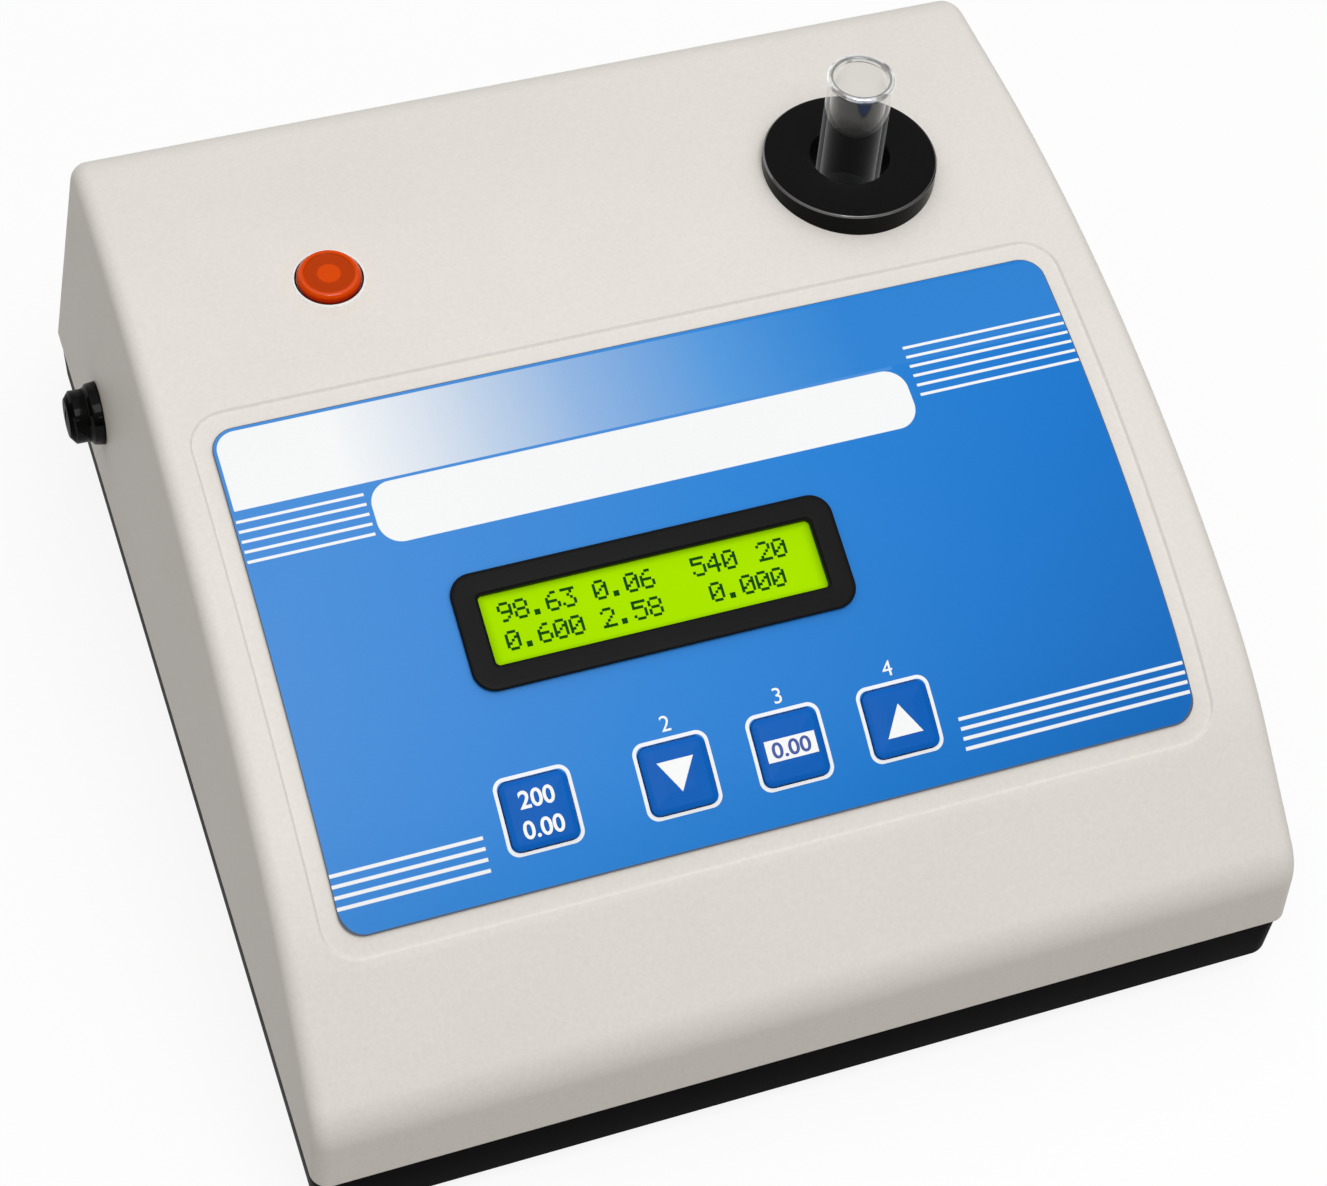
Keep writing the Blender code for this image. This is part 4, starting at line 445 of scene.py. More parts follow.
def eased(*corners, lift=0.0, steps=5):
    """A profile through corners (across, up, radius) in mm, lifted as a whole, in which an arc of its radius
    rounds each corner: its centre lies on the corner's bisector, and it runs between the points where it
    touches the two lines."""
    corners = [np.array((corner[0], corner[1] + lift, *(corner[2:] or (0,)))) for corner in corners]
    line = [corners[0][None, :2]]
    for before, here, after in zip(corners, corners[1:], corners[2:]):
        if here[2] == 0:
            line.append(here[None, :2])
            continue
        back, ahead = (other[:2] - here[:2] for other in (before, after))
        back, ahead = back / np.linalg.norm(back), ahead / np.linalg.norm(ahead)
        half = math.acos(np.clip(back @ ahead, -1, 1)) / 2
        centre = here[:2] + (back + ahead) / np.linalg.norm(back + ahead) * here[2] / math.sin(half)
        ends = [here[:2] + way * here[2] / math.tan(half) - centre for way in (back, ahead)]
        turn = np.linspace(0, 1, steps + 1)[:, None]
        sweep = math.pi - 2 * half
        swung = np.sin((1 - turn) * sweep) * ends[0] + np.sin(turn * sweep) * ends[1]
        line.append(centre + swung / math.sin(sweep))
    line.append(corners[-1][None, :2])
    return np.concatenate(line) * MM


def turned(profile, steps=ROUND):
    """A profile (radius, height) carried round the Z axis of a place, as points and faces. A profile that
    starts or ends off the axis is closed there by a disc, unless it comes back to its start."""
    turn = np.linspace(0, 2 * math.pi, steps, endpoint=False)
    radius, height = profile[:, :1], profile[:, 1:]
    points = np.stack(np.broadcast_arrays(radius * np.cos(turn), radius * np.sin(turn), height), -1)
    return points, ringed(points, profile)


def ringed(points, profile):
    """Faces of rings of points that close round, with a disc at an end that stays open."""
    index = numbered(*points.shape[:2])
    index = np.hstack([index, index[:, :1]])
    faces = quads(index).tolist()
    if np.abs(profile[0] - profile[-1]).max() > 1e-7:
        spread = [np.ptp(points[end], axis=0).max() for end in (0, -1)]
        faces += [index[0, -2::-1].tolist()] if spread[0] > 1e-6 else []
        faces += [index[-1, :-1].tolist()] if spread[1] > 1e-6 else []
    return faces


def pressed(profile, half_x, half_y, radius, middle=(0, 0), steps=8, narrow=None, inner_radius=0.02 * MM):
    """A profile (inset, height) carried round a rectangle with round corners: each ring of the grid is the
    rectangle drawn in by its inset, its corner circles smaller by as much, down to an inner radius. Where the
    inner rectangle has other proportions, a table (in mm) gives the inset along y for an inset along x."""
    inset = profile[:, :1]
    inset_y = inset
    if narrow is not None:
        inset_y = np.interp(inset, *np.array(narrow) * MM) + np.minimum(inset, 0)
    corner = np.maximum(radius - np.minimum(inset, inset_y), inner_radius)
    corner = np.minimum(corner, np.minimum(half_x - inset, half_y - inset_y))
    turn = np.linspace(0, math.pi / 2, steps + 1)
    angle = (turn + np.arange(4)[:, None] * math.pi / 2).ravel()
    sign_x = np.repeat((1, -1, -1, 1), steps + 1)
    sign_y = np.repeat((1, 1, -1, -1), steps + 1)
    x = middle[0] + sign_x * (half_x - inset - corner) + corner * np.cos(angle)
    y = middle[1] + sign_y * (half_y - inset_y - corner) + corner * np.sin(angle)
    points = np.stack(np.broadcast_arrays(x, y, profile[:, 1:]), -1)
    return points, ringed(points, profile)


def add(name, form, place, *rest):
    """A piece from a form (points and faces) set at a place."""
    return piece(name, carried(form[0].reshape(-1, 3), place), form[1], *rest)


def bored_through(name, thing, form, place):
    """Cut a form, set at a place, out of a piece, and keep the result as the piece's own mesh."""
    tool_mesh = bpy.data.meshes.new(name)
    tool_mesh.from_pydata(carried(form[0].reshape(-1, 3), place), [], form[1])
    tool = linked(name, tool_mesh)
    cut_out = thing.modifiers.new(name, "BOOLEAN")
    cut_out.operation, cut_out.solver, cut_out.object = "DIFFERENCE", "EXACT", tool
    thing.data = bpy.data.meshes.new_from_object(thing.evaluated_get(bpy.context.evaluated_depsgraph_get()))
    thing.modifiers.clear()
    thing.data.set_sharp_from_angle(angle=SHARP)
    bpy.data.objects.remove(tool)


bored_through("drill", shell, turned(eased((HOLE_RADIUS, -9), (HOLE_RADIUS, 3))), fuse_place)


def on_case(x, y):
    """A place on the cover's top, its Z axis along the way that the surface faces."""
    return placed(skin(x, along(y)), (np.interp(along(y), length, outline[:, 2]) - level, "X"))


# The label is a half-millimetre polyester film, printed from below in blue and white and lying in the
# recess. It is cut round the four keys and the display, and it bends with the case.
LABEL_TOP, FILM = mm(0.2, 0.5)
KEY_HOLE_RADIUS, DISPLAY_HOLE_RADIUS, EDGE_RADIUS, EDGE_X, EDGE_Y = 2.8, 1.5, 5.8, 0.22, 0.2
LIGHT_BLUE, PRINT_WHITE = (0.063, 0.273, 0.705), (0.93, 0.945, 0.95)
BLUE_STOPS = ((0, LIGHT_BLUE), (0.4, (0.018, 0.23, 0.69)), (0.75, (0.003, 0.185, 0.62)), (1, (0, 0.147, 0.53)))
FIELD_STOPS = ((0.135, PRINT_WHITE), (0.236, (0.70, 0.768, 0.865)), (0.291, (0.548, 0.663, 0.824)),
               (0.40, (0.291, 0.473, 0.776)), (0.482, (0.183, 0.389, 0.745)), (0.564, (0.09, 0.325, 0.737)),
               (0.645, (0.05, 0.268, 0.692)), (0.736, (0.022, 0.225, 0.663)))
FIELD, BAND, RULE = (-108, 130, 110, 148.8, 5), (-76.6, 59.7, 112.2, 127.6, 5.6), (-76.6, 57.5, 127.6, 128.35, 0.1)
STRIPES = ((-108.3, -77.7, 115.5, 125.6, 5), (62.1, 104.9, 119.5, 132.4, 6), (-109.2, -72.6, 38.8, 45.2, 4),
           (45.5, 104.8, 38.6, 44.7, 4))
KEY_RING = ((9.3, 2.9), (8.42, 2.1))


def loop(x_range, s_range, radius, steps=10):
    """Outline points of a rectangle with round corners in the flat of the label."""
    rim = pressed(np.zeros((1, 2)), (x_range[1] - x_range[0]) / 2, (s_range[1] - s_range[0]) / 2, radius,
                  middle=(sum(x_range) / 2, sum(s_range) / 2), steps=steps)[0][0, :, :2]
    gone = np.append(0, np.cumsum(np.hypot(*(np.roll(rim, -1, 0) - rim).T)))
    stations = np.unique(np.concatenate([gone, np.arange(0, gone[-1], 2 * MM)]).round(7))[:-1]
    stations = stations[np.append(True, np.diff(stations) > 0.02 * MM)]
    return np.stack([np.interp(stations, gone, np.append(line, line[0])) for line in rim.T], 1)


label_s = tuple(along(LABEL_Y))
cuts = [(hole[:2], hole[2:], radius * MM)
        for hole, radius in zip(holes, [KEY_HOLE_RADIUS] * len(KEY_XS) + [DISPLAY_HOLE_RADIUS])]
loops = [loop(LABEL_X, label_s, LABEL_RADIUS)] + [loop(*cut_out) for cut_out in cuts]
lattice = np.stack(np.meshgrid(np.arange(*LABEL_X, 6 * MM), np.arange(*label_s, 2.4 * MM)), -1).reshape(-1, 2)


def on_film(points, margin):
    """Which points lie on the film, at least a margin inside its outline and outside its cuts."""
    found = box_distance(*points.T, LABEL_X, label_s, LABEL_RADIUS) < -margin
    for cut_out in cuts:
        found &= box_distance(*points.T, *cut_out) > margin
    return found


sheet = np.concatenate(loops + [lattice[on_film(lattice, 1 * MM)]])
starts = np.cumsum([0] + [len(each) for each in loops])
rims = [(int(a + i), int(a + (i + 1) % (b - a))) for a, b in zip(starts, starts[1:]) for i in range(b - a)]
flat, _, triangles, *_ = delaunay_2d_cdt([Vector(point) for point in sheet], rims, [], 0, 1e-7)
flat, triangles = np.array(flat), np.array(triangles)
film = triangles[on_film(flat[triangles].mean(1), 0)]

place = new_finish("label_film")
x, y = (place.part(0) - CASE_X) / MM, (place.part(1) - FRONT_Y) / MM


def panel(x_low, x_high, y_low, y_high, radius, soft=0.08, up=None):
    """A mask that is 1 inside a rectangle with round corners, in millimetres on the label's plan, or with
    another measure up the label."""
    out_x = abs(x - (x_low + x_high) / 2) - ((x_high - x_low) / 2 - radius)
    out_y = abs((up or y) - (y_low + y_high) / 2) - ((y_high - y_low) / 2 - radius)
    beyond_x, beyond_y = out_x.over(0), out_y.over(0)
    distance = (beyond_x * beyond_x + beyond_y * beyond_y).root()
    return (distance + out_x.over(out_y).under(0) - radius).step(soft, -soft)


def stripes(x_low, x_high, y_low, y_high, count, thick=0.72):
    """A mask of a number of thin printed lines at equal steps between two depths."""
    pitch = (y_high - y_low) / (count - 1)
    nearest = (y - y_low) / pitch
    off = abs(nearest - round(nearest)) * pitch
    return off.step(thick / 2 + 0.08, thick / 2 - 0.08) * panel(x_low, x_high, y_low - thick, y_high + thick, 0.1)


broad = place.grain(11)
peel = place.grain(2600, 2.0, 0.6)
# The blue is lighter towards the left and the rear, and darker towards the right and the front.
blue = ((x * 0.485 - y * 0.42 + (broad - 0.5) * 8 + 92.4) / 125).ramp(BLUE_STOPS)
upper = ((x + (broad - 0.5) * 6 + 110) / 220).ramp(FIELD_STOPS)
colour = (panel(*FIELD) * y.step(128.3, 128.4)).choose(blue, upper)
colour = panel(*RULE).choose(colour, LIGHT_BLUE)
white = panel(*BAND)
for lines in STRIPES:
    white = white.over(stripes(*lines))
key_tilt = float(np.interp(along(KEY_Y), length, outline[:, 2])) - level
flat_up = (y - KEY_Y / MM) / math.cos(key_tilt)
flat_up = flat_up - flat_up * flat_up * (math.tan(key_tilt) * MM / (2 * BEND_RADIUS))
for key_x in KEY_XS / MM:
    outer, inner = (panel(key_x - half, key_x + half, -half, half, radius, 0.06, flat_up) for half, radius in KEY_RING)
    white = white.over(outer - inner)
colour = white.choose(colour, PRINT_WHITE)
film_edge = panel(LABEL_X[0] / MM + EDGE_X, LABEL_X[1] / MM - EDGE_X, LABEL_Y[0] / MM + EDGE_Y,
                  LABEL_Y[1] / MM - EDGE_Y, EDGE_RADIUS, 0.06)
colour = film_edge.choose((0.10, 0.12, 0.16), colour)
tone = place.node("HueSaturation", {}, {"Color": colour, "Value": (peel - 0.5) * 0.08 + (broad - 0.5) * 0.06 + 1})
label_finish = finished(place, tone, (broad - 0.5) * 0.1 + 0.42, peel, 0.012, gloss=0.15)

film_points = np.concatenate([skin(*flat.T, LABEL_TOP), skin(*flat.T, LABEL_TOP - FILM)])
rims = np.array(rims)
skirt = np.stack([rims[:, 1], rims[:, 0], rims[:, 0] + len(flat), rims[:, 1] + len(flat)], 1)
film_faces = film.tolist() + (film[:, ::-1] + len(flat)).tolist() + skirt.tolist()
piece("label", film_points, film_faces, label_finish, "case", "label", ["front_overlay"])

# The printed numbers on the label and the keys are plain figures and marks, thin solid ink standing
# 0.04 mm proud so that they never lie in the same plane as the film.
INK, CAPTION_SIZE, CAPTION_RIGHT, CAPTION_UP = mm(0.04, 5.4, 0.3, 11.2)


def blended(mask, dark, light, base, gain=0.0, depth=0.0, **constants):
    """The material in which a mask goes from one colour to another, adds its gain to a base roughness and
    stands up as relief of a depth."""
    roughness, height = mask * gain + base if gain else base, mask if depth else None
    return finished(mask, mask.choose(dark, light), roughness, height, depth, **constants)


def inked(name, dark, light):
    """Printing ink: a mask of faint mottling between two tones of it."""
    return blended(new_finish(name).grain(900).step(0.2, 0.9), dark, light, 0.45)


white_ink = inked("white_ink", PRINT_WHITE, grey(0.97))
navy_ink = inked("navy_ink", (0.01, 0.06, 0.33), (0.015, 0.075, 0.38))


def figures(name, text, size, spot, finish, body, slot, place=None, bold=0.0, stretch=1.0):
    """Figures in the plain face that Blender has built in, centred on a spot (across, up, rise) and laid on
    the cover, or on a key's or rocker's own place."""
    curve = bpy.data.curves.new(name, "FONT")
    curve.body, curve.size, curve.offset = text, size, bold * size
    curve.align_x, curve.align_y = "CENTER", "CENTER"
    drawn = bpy.data.objects.new(name, curve)
    mesh = bpy.data.meshes.new_from_object(drawn)
    bpy.data.objects.remove(drawn)
    points = np.zeros(len(mesh.vertices) * 3)
    mesh.vertices.foreach_get("co", points)
    points = points.reshape(-1, 3) * (stretch, 1, 1)
    points[:, :2] -= (points[:, :2].max(0) + points[:, :2].min(0)) / 2
    if place is None:
        points = skin(spot[0] + points[:, 0], along(spot[1]) + points[:, 1], spot[2])
    else:
        points = carried(points + spot, place)
    mesh.vertices.foreach_set("co", points.ravel())
    return shown(name, mesh, finish, body, slot)


for number, key_x in enumerate(KEY_XS[1:], start=2):
    figures("label_number_%d" % number, str(number), CAPTION_SIZE,
            (key_x + CAPTION_RIGHT, KEY_Y + CAPTION_UP, LABEL_TOP + INK), white_ink, "case", "label")

# Keys: four square pads moulded in blue rubber with a pillow top and a shallow crease along each edge. Each
# has a flange that the cover holds down, and a stem that presses its switch.
KEY_HALF, KEY_RADIUS, KEY_TOP, FLANGE_TOP, FLANGE = 8.15 * MM, 2.2 * MM, 1.4, -3.26, 1.1
KEY_NAMES = ("key_set", "key_down", "key_zero", "key_up")
key_place = new_finish("key_rubber")
key_mottle = key_place.grain(1500, 3.0, 0.6)
key_blue = (key_place.grain(60) * 0.6 + key_mottle * 0.4).choose((0.0, 0.098, 0.44), (0.0, 0.135, 0.56))
key_finish = finished(key_place, key_blue, (key_mottle - 0.5) * 0.12 + 0.4, key_mottle, 0.01, gloss=0.09)
key_profile = eased((6.5, FLANGE_TOP - 3.3), (6.5, FLANGE_TOP - FLANGE), (-1.5, FLANGE_TOP - FLANGE, 0.2),
                    (-1.5, FLANGE_TOP, 0.2), (0, FLANGE_TOP), (0, KEY_TOP - 0.62, 0.45),
                    (1.3, KEY_TOP - 0.24, 1.6), (4.5, KEY_TOP, 5), (8.0, KEY_TOP))
key_spots = {name: on_case(key_x, KEY_Y) for name, key_x in zip(KEY_NAMES, KEY_XS)}
for name, spot in key_spots.items():
    add(name + "_pad", pressed(key_profile, KEY_HALF, KEY_HALF, KEY_RADIUS), spot, key_finish, name, "keys", [name])
key_print = KEY_TOP * MM + INK
arrow = np.array([(-4.5, -3.9, 0), (4.5, -3.9, 0), (0, 3.8, 0)]) * MM
for name, turn in (("key_up", 1), ("key_down", -1)):
    piece(name + "_mark", carried(arrow * (turn, turn, 1) + (0, 0, key_print), key_spots[name]), [[0, 1, 2]],
          white_ink, name, "keys")
for name, text, up in (("key_set_mark", "200", 3.3), ("key_set_mark_low", "0.00", -3.7)):
    figures(name, text, 5.8 * MM, (0, up * MM, key_print), white_ink, "key_set", "keys", key_spots["key_set"], 0.02)
plate = np.array([(-6.3, -2.6, 0), (6.3, -2.6, 0), (6.3, 2.6, 0), (-6.3, 2.6, 0)]) * MM + (0, 0, key_print)
piece("key_zero_plate", carried(plate, key_spots["key_zero"]), [[0, 1, 2, 3]], white_ink, "key_zero", "keys")
figures("key_zero_mark", "0.00", 5.2 * MM, (0, 0, key_print + INK), navy_ink, "key_zero", "keys",
        key_spots["key_zero"], 0.02, 1.1)

# Display: a black bezel pushed through the label, with a soft outer edge and a thin lip round the window.
# Under the lip lies a yellow-green character cell, lit from behind, with two lines of dark dots.
BEZEL_TOP, LIP_FOOT, FRAME_FOOT, DOT_HEIGHT = 1.6, -0.1, -4.0, -0.40
CHARACTER_STEP, DOT_STEP = 3.9, 0.69
DOT_ROWS = {"0": (14, 17, 19, 21, 25, 17, 14), "2": (14, 17, 1, 2, 4, 8, 31), "3": (31, 2, 4, 2, 1, 17, 14),
            "4": (2, 6, 10, 18, 31, 2, 2), "5": (31, 16, 30, 1, 1, 17, 14), "6": (6, 8, 16, 30, 17, 17, 14),
            "8": (14, 17, 17, 14, 17, 17, 14), "9": (14, 17, 17, 15, 1, 2, 12), ".": (0, 0, 0, 0, 0, 12, 12),
            " ": (0,) * 7}
FIGURES = ((-37.2, 5.9, "98.63 0.06"), (10.8, 5.9, "540"), (27.4, 5.9, "20"), (-37.2, -1.15, "0.600 2.58"),
           (13.3, -1.15, "0.000"))
display_spot = on_case(DISPLAY_X, DISPLAY_Y)
bezel_finish = moulded("bezel_plastic", (0.006, 0.006, 0.0063), 0.36, 1700, 0.008, 0.2, 0.07)
bezel_profile = eased((3.6, FRAME_FOOT), (3.6, 0.5), (0, 0.5, 0.1), (0, BEZEL_TOP - 0.15, 0.5), (0.9, BEZEL_TOP, 0.9),
                      (5.55, BEZEL_TOP - 0.05, 0.4), (6.15, BEZEL_TOP - 0.45, 0.3), (6.2, LIP_FOOT),
                      (5.1, LIP_FOOT - 0.05), (5.1, FRAME_FOOT), (3.6, FRAME_FOOT))
bezel_form = pressed(bezel_profile, *mm(47.7, 14.6, 5.5), steps=10, inner_radius=1.2 * MM,
                     narrow=((0, 0.9, 5.3, 7), (0, 0.9, 5.0, 6.7)))
add("bezel", bezel_form, display_spot, bezel_finish, "case", "bezel", ["lcd_bezel"])

cell_place = new_finish("display_cell")
# Painted shade: the cell darkens towards its edges, under the bezel's lip, and faint noise varies its tone.
lip_shadow_across = abs(cell_place.part(0) - (CASE_X + DISPLAY_X)).step(38.8 * MM, 42.2 * MM)
lip_shadow_along = abs(cell_place.part(1) - (FRONT_Y + DISPLAY_Y)).step(6.6 * MM, 8.6 * MM)
lip_shadow_and_tone = lip_shadow_across.over(lip_shadow_along) * 0.6 + cell_place.grain(30) * 0.3
cell_colour = lip_shadow_and_tone.choose((0.335, 0.645, 0.0), (0.19, 0.41, 0.0))
cell_finish = finished(cell_place, cell_colour, 0.5, Emission_Color=cell_colour, Emission_Strength=0.3, gloss=0)
cell_profile = eased((0.9, -1.9), (0, -1.9, 0.1), (0, -0.45, 0.15), (1, -0.45), (8.5, -0.45))
cell_form = pressed(cell_profile, *mm(42.4, 9.6, 1.2))
add("display_glass", cell_form, display_spot, cell_finish, "case", "display_cell", ["lcd_cell"])

lit = np.array([(left + column * CHARACTER_STEP + bit * DOT_STEP, high - row * DOT_STEP)
                for left, high, text in FIGURES for column, character in enumerate(text)
                for row, bits in enumerate(DOT_ROWS[character]) for bit in range(5) if bits >> (4 - bit) & 1])
dot = np.array([(-1, -1), (1, -1), (1, 1), (-1, 1)]) * DOT_STEP / 2
dots = np.concatenate([lit[:, None] + dot, np.full((len(lit), 4, 1), DOT_HEIGHT)], -1).reshape(-1, 3) * MM
dot_finish = blended(new_finish("display_dots").grain(500), (0.004, 0.055, 0.006), (0.012, 0.085, 0.006), 0.5, gloss=0)
piece("display_figures", carried(dots, display_spot), numbered(len(lit), 4), dot_finish, "case", "display_cell")

# Collar: a turned black plastic disc round the mouth of the well. Its top is level, its edge is a little
# broken, its foot follows the sloping case, and its bore narrows to the tube.
COLLAR_OUT, COLLAR_BORE, COLLAR_STEP, COLLAR_SPIGOT, COLLAR_RISE = 22.4, 10.3, 8.65, 14, 4
well_centre = skin(WELL_X, along(WELL_Y))
collar_top = well_centre[2] / MM + COLLAR_RISE
collar_line = eased((COLLAR_STEP, -14), (COLLAR_STEP, -6.8), (COLLAR_BORE, -3.4, 0.5), (COLLAR_BORE, 0, 0.3),
                    (COLLAR_OUT - 0.32, 0, 0.1), (COLLAR_OUT, -0.32, 0.1), (COLLAR_OUT, -14), (COLLAR_SPIGOT, -14.5),
                    (COLLAR_SPIGOT, -15), (COLLAR_STEP, -15), (COLLAR_STEP, -14), lift=collar_top)[::-1]
collar_place = placed((well_centre[0], well_centre[1], 0))
collar_points, collar_faces = turned(collar_line, steps=144)
bed = np.interp(along(collar_points[..., 1] + well_centre[1] - FRONT_Y), length, outline[:, 1]) - 0.15 * MM
flared = np.hypot(collar_points[..., 0], collar_points[..., 1]) > (COLLAR_SPIGOT + 0.2) * MM
collar_points[..., 2] = np.where(flared, np.maximum(collar_points[..., 2], bed), collar_points[..., 2])
black_place = new_finish("gloss_black_plastic")
edge_gloss = black_place.from_axis(well_centre).step(21.85 * MM, 22.05 * MM)
edge_gloss = edge_gloss * black_place.part(2).step((collar_top - 0.6) * MM, (collar_top - 0.36) * MM)
black = blended(black_place.grain(900, 3.0, 0.6), grey(0.0022), grey(0.0036), 0.19, 0.1, 0.006,
                Coat_Weight=edge_gloss, Coat_Roughness=0.1, Coat_IOR=2.6, gloss=0.07)
add("collar", (collar_points, collar_faces), collar_place, black, "case", "gloss_black", ["cuvette_collar"])

# Tube: clear glass, 16.5 mm across with a 1.2 mm wall, a round foot and a fire-polished lip. It is drawn out
# of tubing, stands loose in the well and lifts straight out.
TUBE_OUT, TUBE_IN, TUBE_LENGTH, TUBE_ABOVE, FOOT_LENGTH = 8.25, 7.05, 100, 26.5, 12
tube_top = collar_top + TUBE_ABOVE
foot_turn = np.linspace(0, math.pi / 2, 17)[:, None]
foot_arc = np.concatenate([np.sin(foot_turn), -np.cos(foot_turn)], 1)
foot_centre = (0, tube_top - TUBE_LENGTH + TUBE_OUT)
tube_walls = eased((TUBE_OUT, FOOT_LENGTH - TUBE_LENGTH), (TUBE_OUT, -1.6, 1.5), (8.6, -0.9, 0.5), (8.65, 0, 0.6),
                   (6.95, 0, 0.6), (TUBE_IN, -1.8, 0.6), (TUBE_IN, FOOT_LENGTH - TUBE_LENGTH), lift=tube_top)
tube_line = np.concatenate([(foot_arc * TUBE_OUT + foot_centre) * MM, tube_walls,
                            (foot_arc[::-1] * TUBE_IN + foot_centre) * MM])
glass_place = new_finish("clear_glass")
# Painted reflection: the mirror's share of the glass is raised on the lip and a little on the upper wall.
lip = glass_place.part(2).step((tube_top - 1.6) * MM, (tube_top - 1.2) * MM)
upper_wall = glass_place.part(2).step((tube_top - 11) * MM, (tube_top - 6) * MM)
rim_line = abs(glass_place.from_axis(well_centre) - 7.35 * MM).step(0.42 * MM, 0.22 * MM)
# Painted reflection: noise streaks and a thin ring paint dark lines into the mirror's colour on the lip.
painted_lip_lines = (glass_place.grain(240, 1.0).step(0.48, 0.66) * 0.8).over(rim_line * 0.85) * lip
# Painted glow: outside those lines the glass glows faintly white, though it is no lamp.
glass_finish = finished(glass_place, painted_lip_lines.choose((0.95, 0.96, 0.96), (0.05, 0.05, 0.055)),
                        glass_place.grain(140).step(0.3, 0.9) * 0.03 + 0.02, Metallic=1.0,
                        Emission_Color=painted_lip_lines.choose(grey(1), grey(0)), Emission_Strength=0.12)
clear = glass_place.node("BsdfTransparent", {}, {"Color": (0.985, 0.99, 0.99, 1)})
grazing = glass_place.node("LayerWeight", {}, {"Blend": 0.5}, 1)
# The mirror's share grows at grazing angles, and is raised on the lip and upper wall as painted reflection.
glint = (grazing ** 4 * 0.9 + upper_wall * 0.022 + 0.008).over(lip * 0.7).under(0.92)
shine = Socket(glass_place.tree, glass_place.tree.nodes["Principled BSDF"].outputs[0])
glass = glass_place.node("MixShader", {}, {0: glint, 1: clear, 2: shine})
glass_place.tree.links.new(glass.socket, glass_place.tree.nodes["Material Output"].inputs["Surface"])
add("tube", turned(tube_line, steps=128), collar_place, glass_finish, "cuvette", "clear_glass", ["cuvette"])

# Indicator: a translucent orange lens, with a rounded rim round a dished face that has a painted bright middle.
# A rubber gasket and the panel's rim go round it.
# Painted highlights: the lens is brighter in its middle and in a band on top of its rim.
LENS_PAINTED_RINGS = ((2.6, 3.2, (0.48, 0.044, 0.001)), (6.0, 6.3, (0.74, 0.064, 0.0)), (7.6, 8.05, (0.42, 0.018, 0.0)))
lens_spot = on_case(LENS_X, LENS_Y)
lens_place = new_finish("orange_lens")
from_middle = lens_place.from_axis(skin(LENS_X, along(LENS_Y)))
lens_colour = (0.72, 0.068, 0.001)
# Painted shade: the dish between them and the lens's outer side are darker.
for ring_in, ring_out, shade in LENS_PAINTED_RINGS:
    lens_colour = from_middle.step(ring_in * MM, ring_out * MM).choose(lens_colour, shade)
lens_finish = finished(lens_place, lens_colour, lens_place.grain(300).step(0.2, 0.9) * 0.06 + 0.1,
                       Coat_Weight=abs(from_middle - 7.1 * MM).step(0.35 * MM, 0.15 * MM) * 0.4,
                       Coat_Roughness=0.08, Coat_IOR=1.8, gloss=0.06)
lens_line = eased((0, -1.1), (8.05, -1.1, 0.2), (8.05, 0.9, 1.0), (7.2, 2.3, 0.8), (6.4, 2.3, 0.4), (6.1, 1.95, 0.2),
                  (4.0, 1.75, 2), (1.2, 1.95, 1.5), (0, 2.0))
gasket_line = eased((8.1, -0.4), (8.5, -0.4), (8.5, 0.1, 0.05), (8.1, 0.1, 0.05), (8.1, -0.4))
rim_line = eased((8.52, -0.4), (9.2, -0.4), (9.2, 0.04), (8.95, 0.32, 0.12), (8.52, 0.3, 0.06), (8.52, -0.4))
gasket_black = moulded("gasket_rubber", grey(0.006), 0.7, 1500, 0.01, 0.2, 0.1)
rim_white = moulded("rim_plastic", (0.93, 0.92, 0.9), 0.35, 900, 0.01, 0.04)
add("indicator_lens", turned(lens_line), lens_spot, lens_finish, "case", "indicator_lens", ["lamp_lens"])
add("indicator_gasket", turned(gasket_line), lens_spot, gasket_black, "case", "gloss_black")
add("indicator_rim", turned(rim_line), lens_spot, rim_white, "case", "shell")

# Fuse holder: a black phenolic body with a stepped flange against the wall, and a slotted cap that turns a
# quarter and draws the glass fuse out with it.
BODY_TOP, BODY_END, CAP_FOOT = 3.9, -31, 4.2
fuse_look = new_finish("phenolic")
barrel = fuse_look.from_axis(fuse_place[:3, 3], 1, 2).step(6.5 * MM, 6.9 * MM)
fuse_black = blended(fuse_look.grain(700, 3.0, 0.6), grey(0.0015), grey(0.0026), 0.3, 0.1, 0.004,
                     Coat_Weight=barrel * 0.18, Coat_Roughness=0.08, Coat_IOR=1.5, gloss=0.01)
fuse_line = eased((3.0, BODY_TOP - 24.6), (3.0, BODY_TOP - 4.0), (4.8, BODY_TOP - 4.0), (4.8, BODY_TOP),
                  (7.25, BODY_TOP), (7.35, 3.45, 0.2), (8.2, 2.75, 0.5), (8.55, 0.02, 0.1), (6.0, 0.02),
                  (6.0, BODY_END, 0.5), (3.0, BODY_END), (3.0, BODY_TOP - 24.6))[::-1]
add("fuse_body", turned(fuse_line), fuse_place, fuse_black, "case", "black_plastic", ["fuse_holder_body"])
cap_line = eased((0, -4), (4.4, -4, 0.3), (4.4, -0.2), (7.1, -0.2), (7.15, 3.1, 0.25), (5.2, 4.65, 0.5), (0, 4.9),
                 lift=CAP_FOOT)
cap = add("fuse_knob", turned(cap_line), fuse_place, fuse_black, "fuse_cap", "black_plastic", ["fuse_cap"])
cap_slot = pressed(eased((0, 3.6), (0, 8), lift=CAP_FOOT), *mm(3.4, 0.65, 0.3))
bored_through("driver_slot", cap, cap_slot, fuse_place)

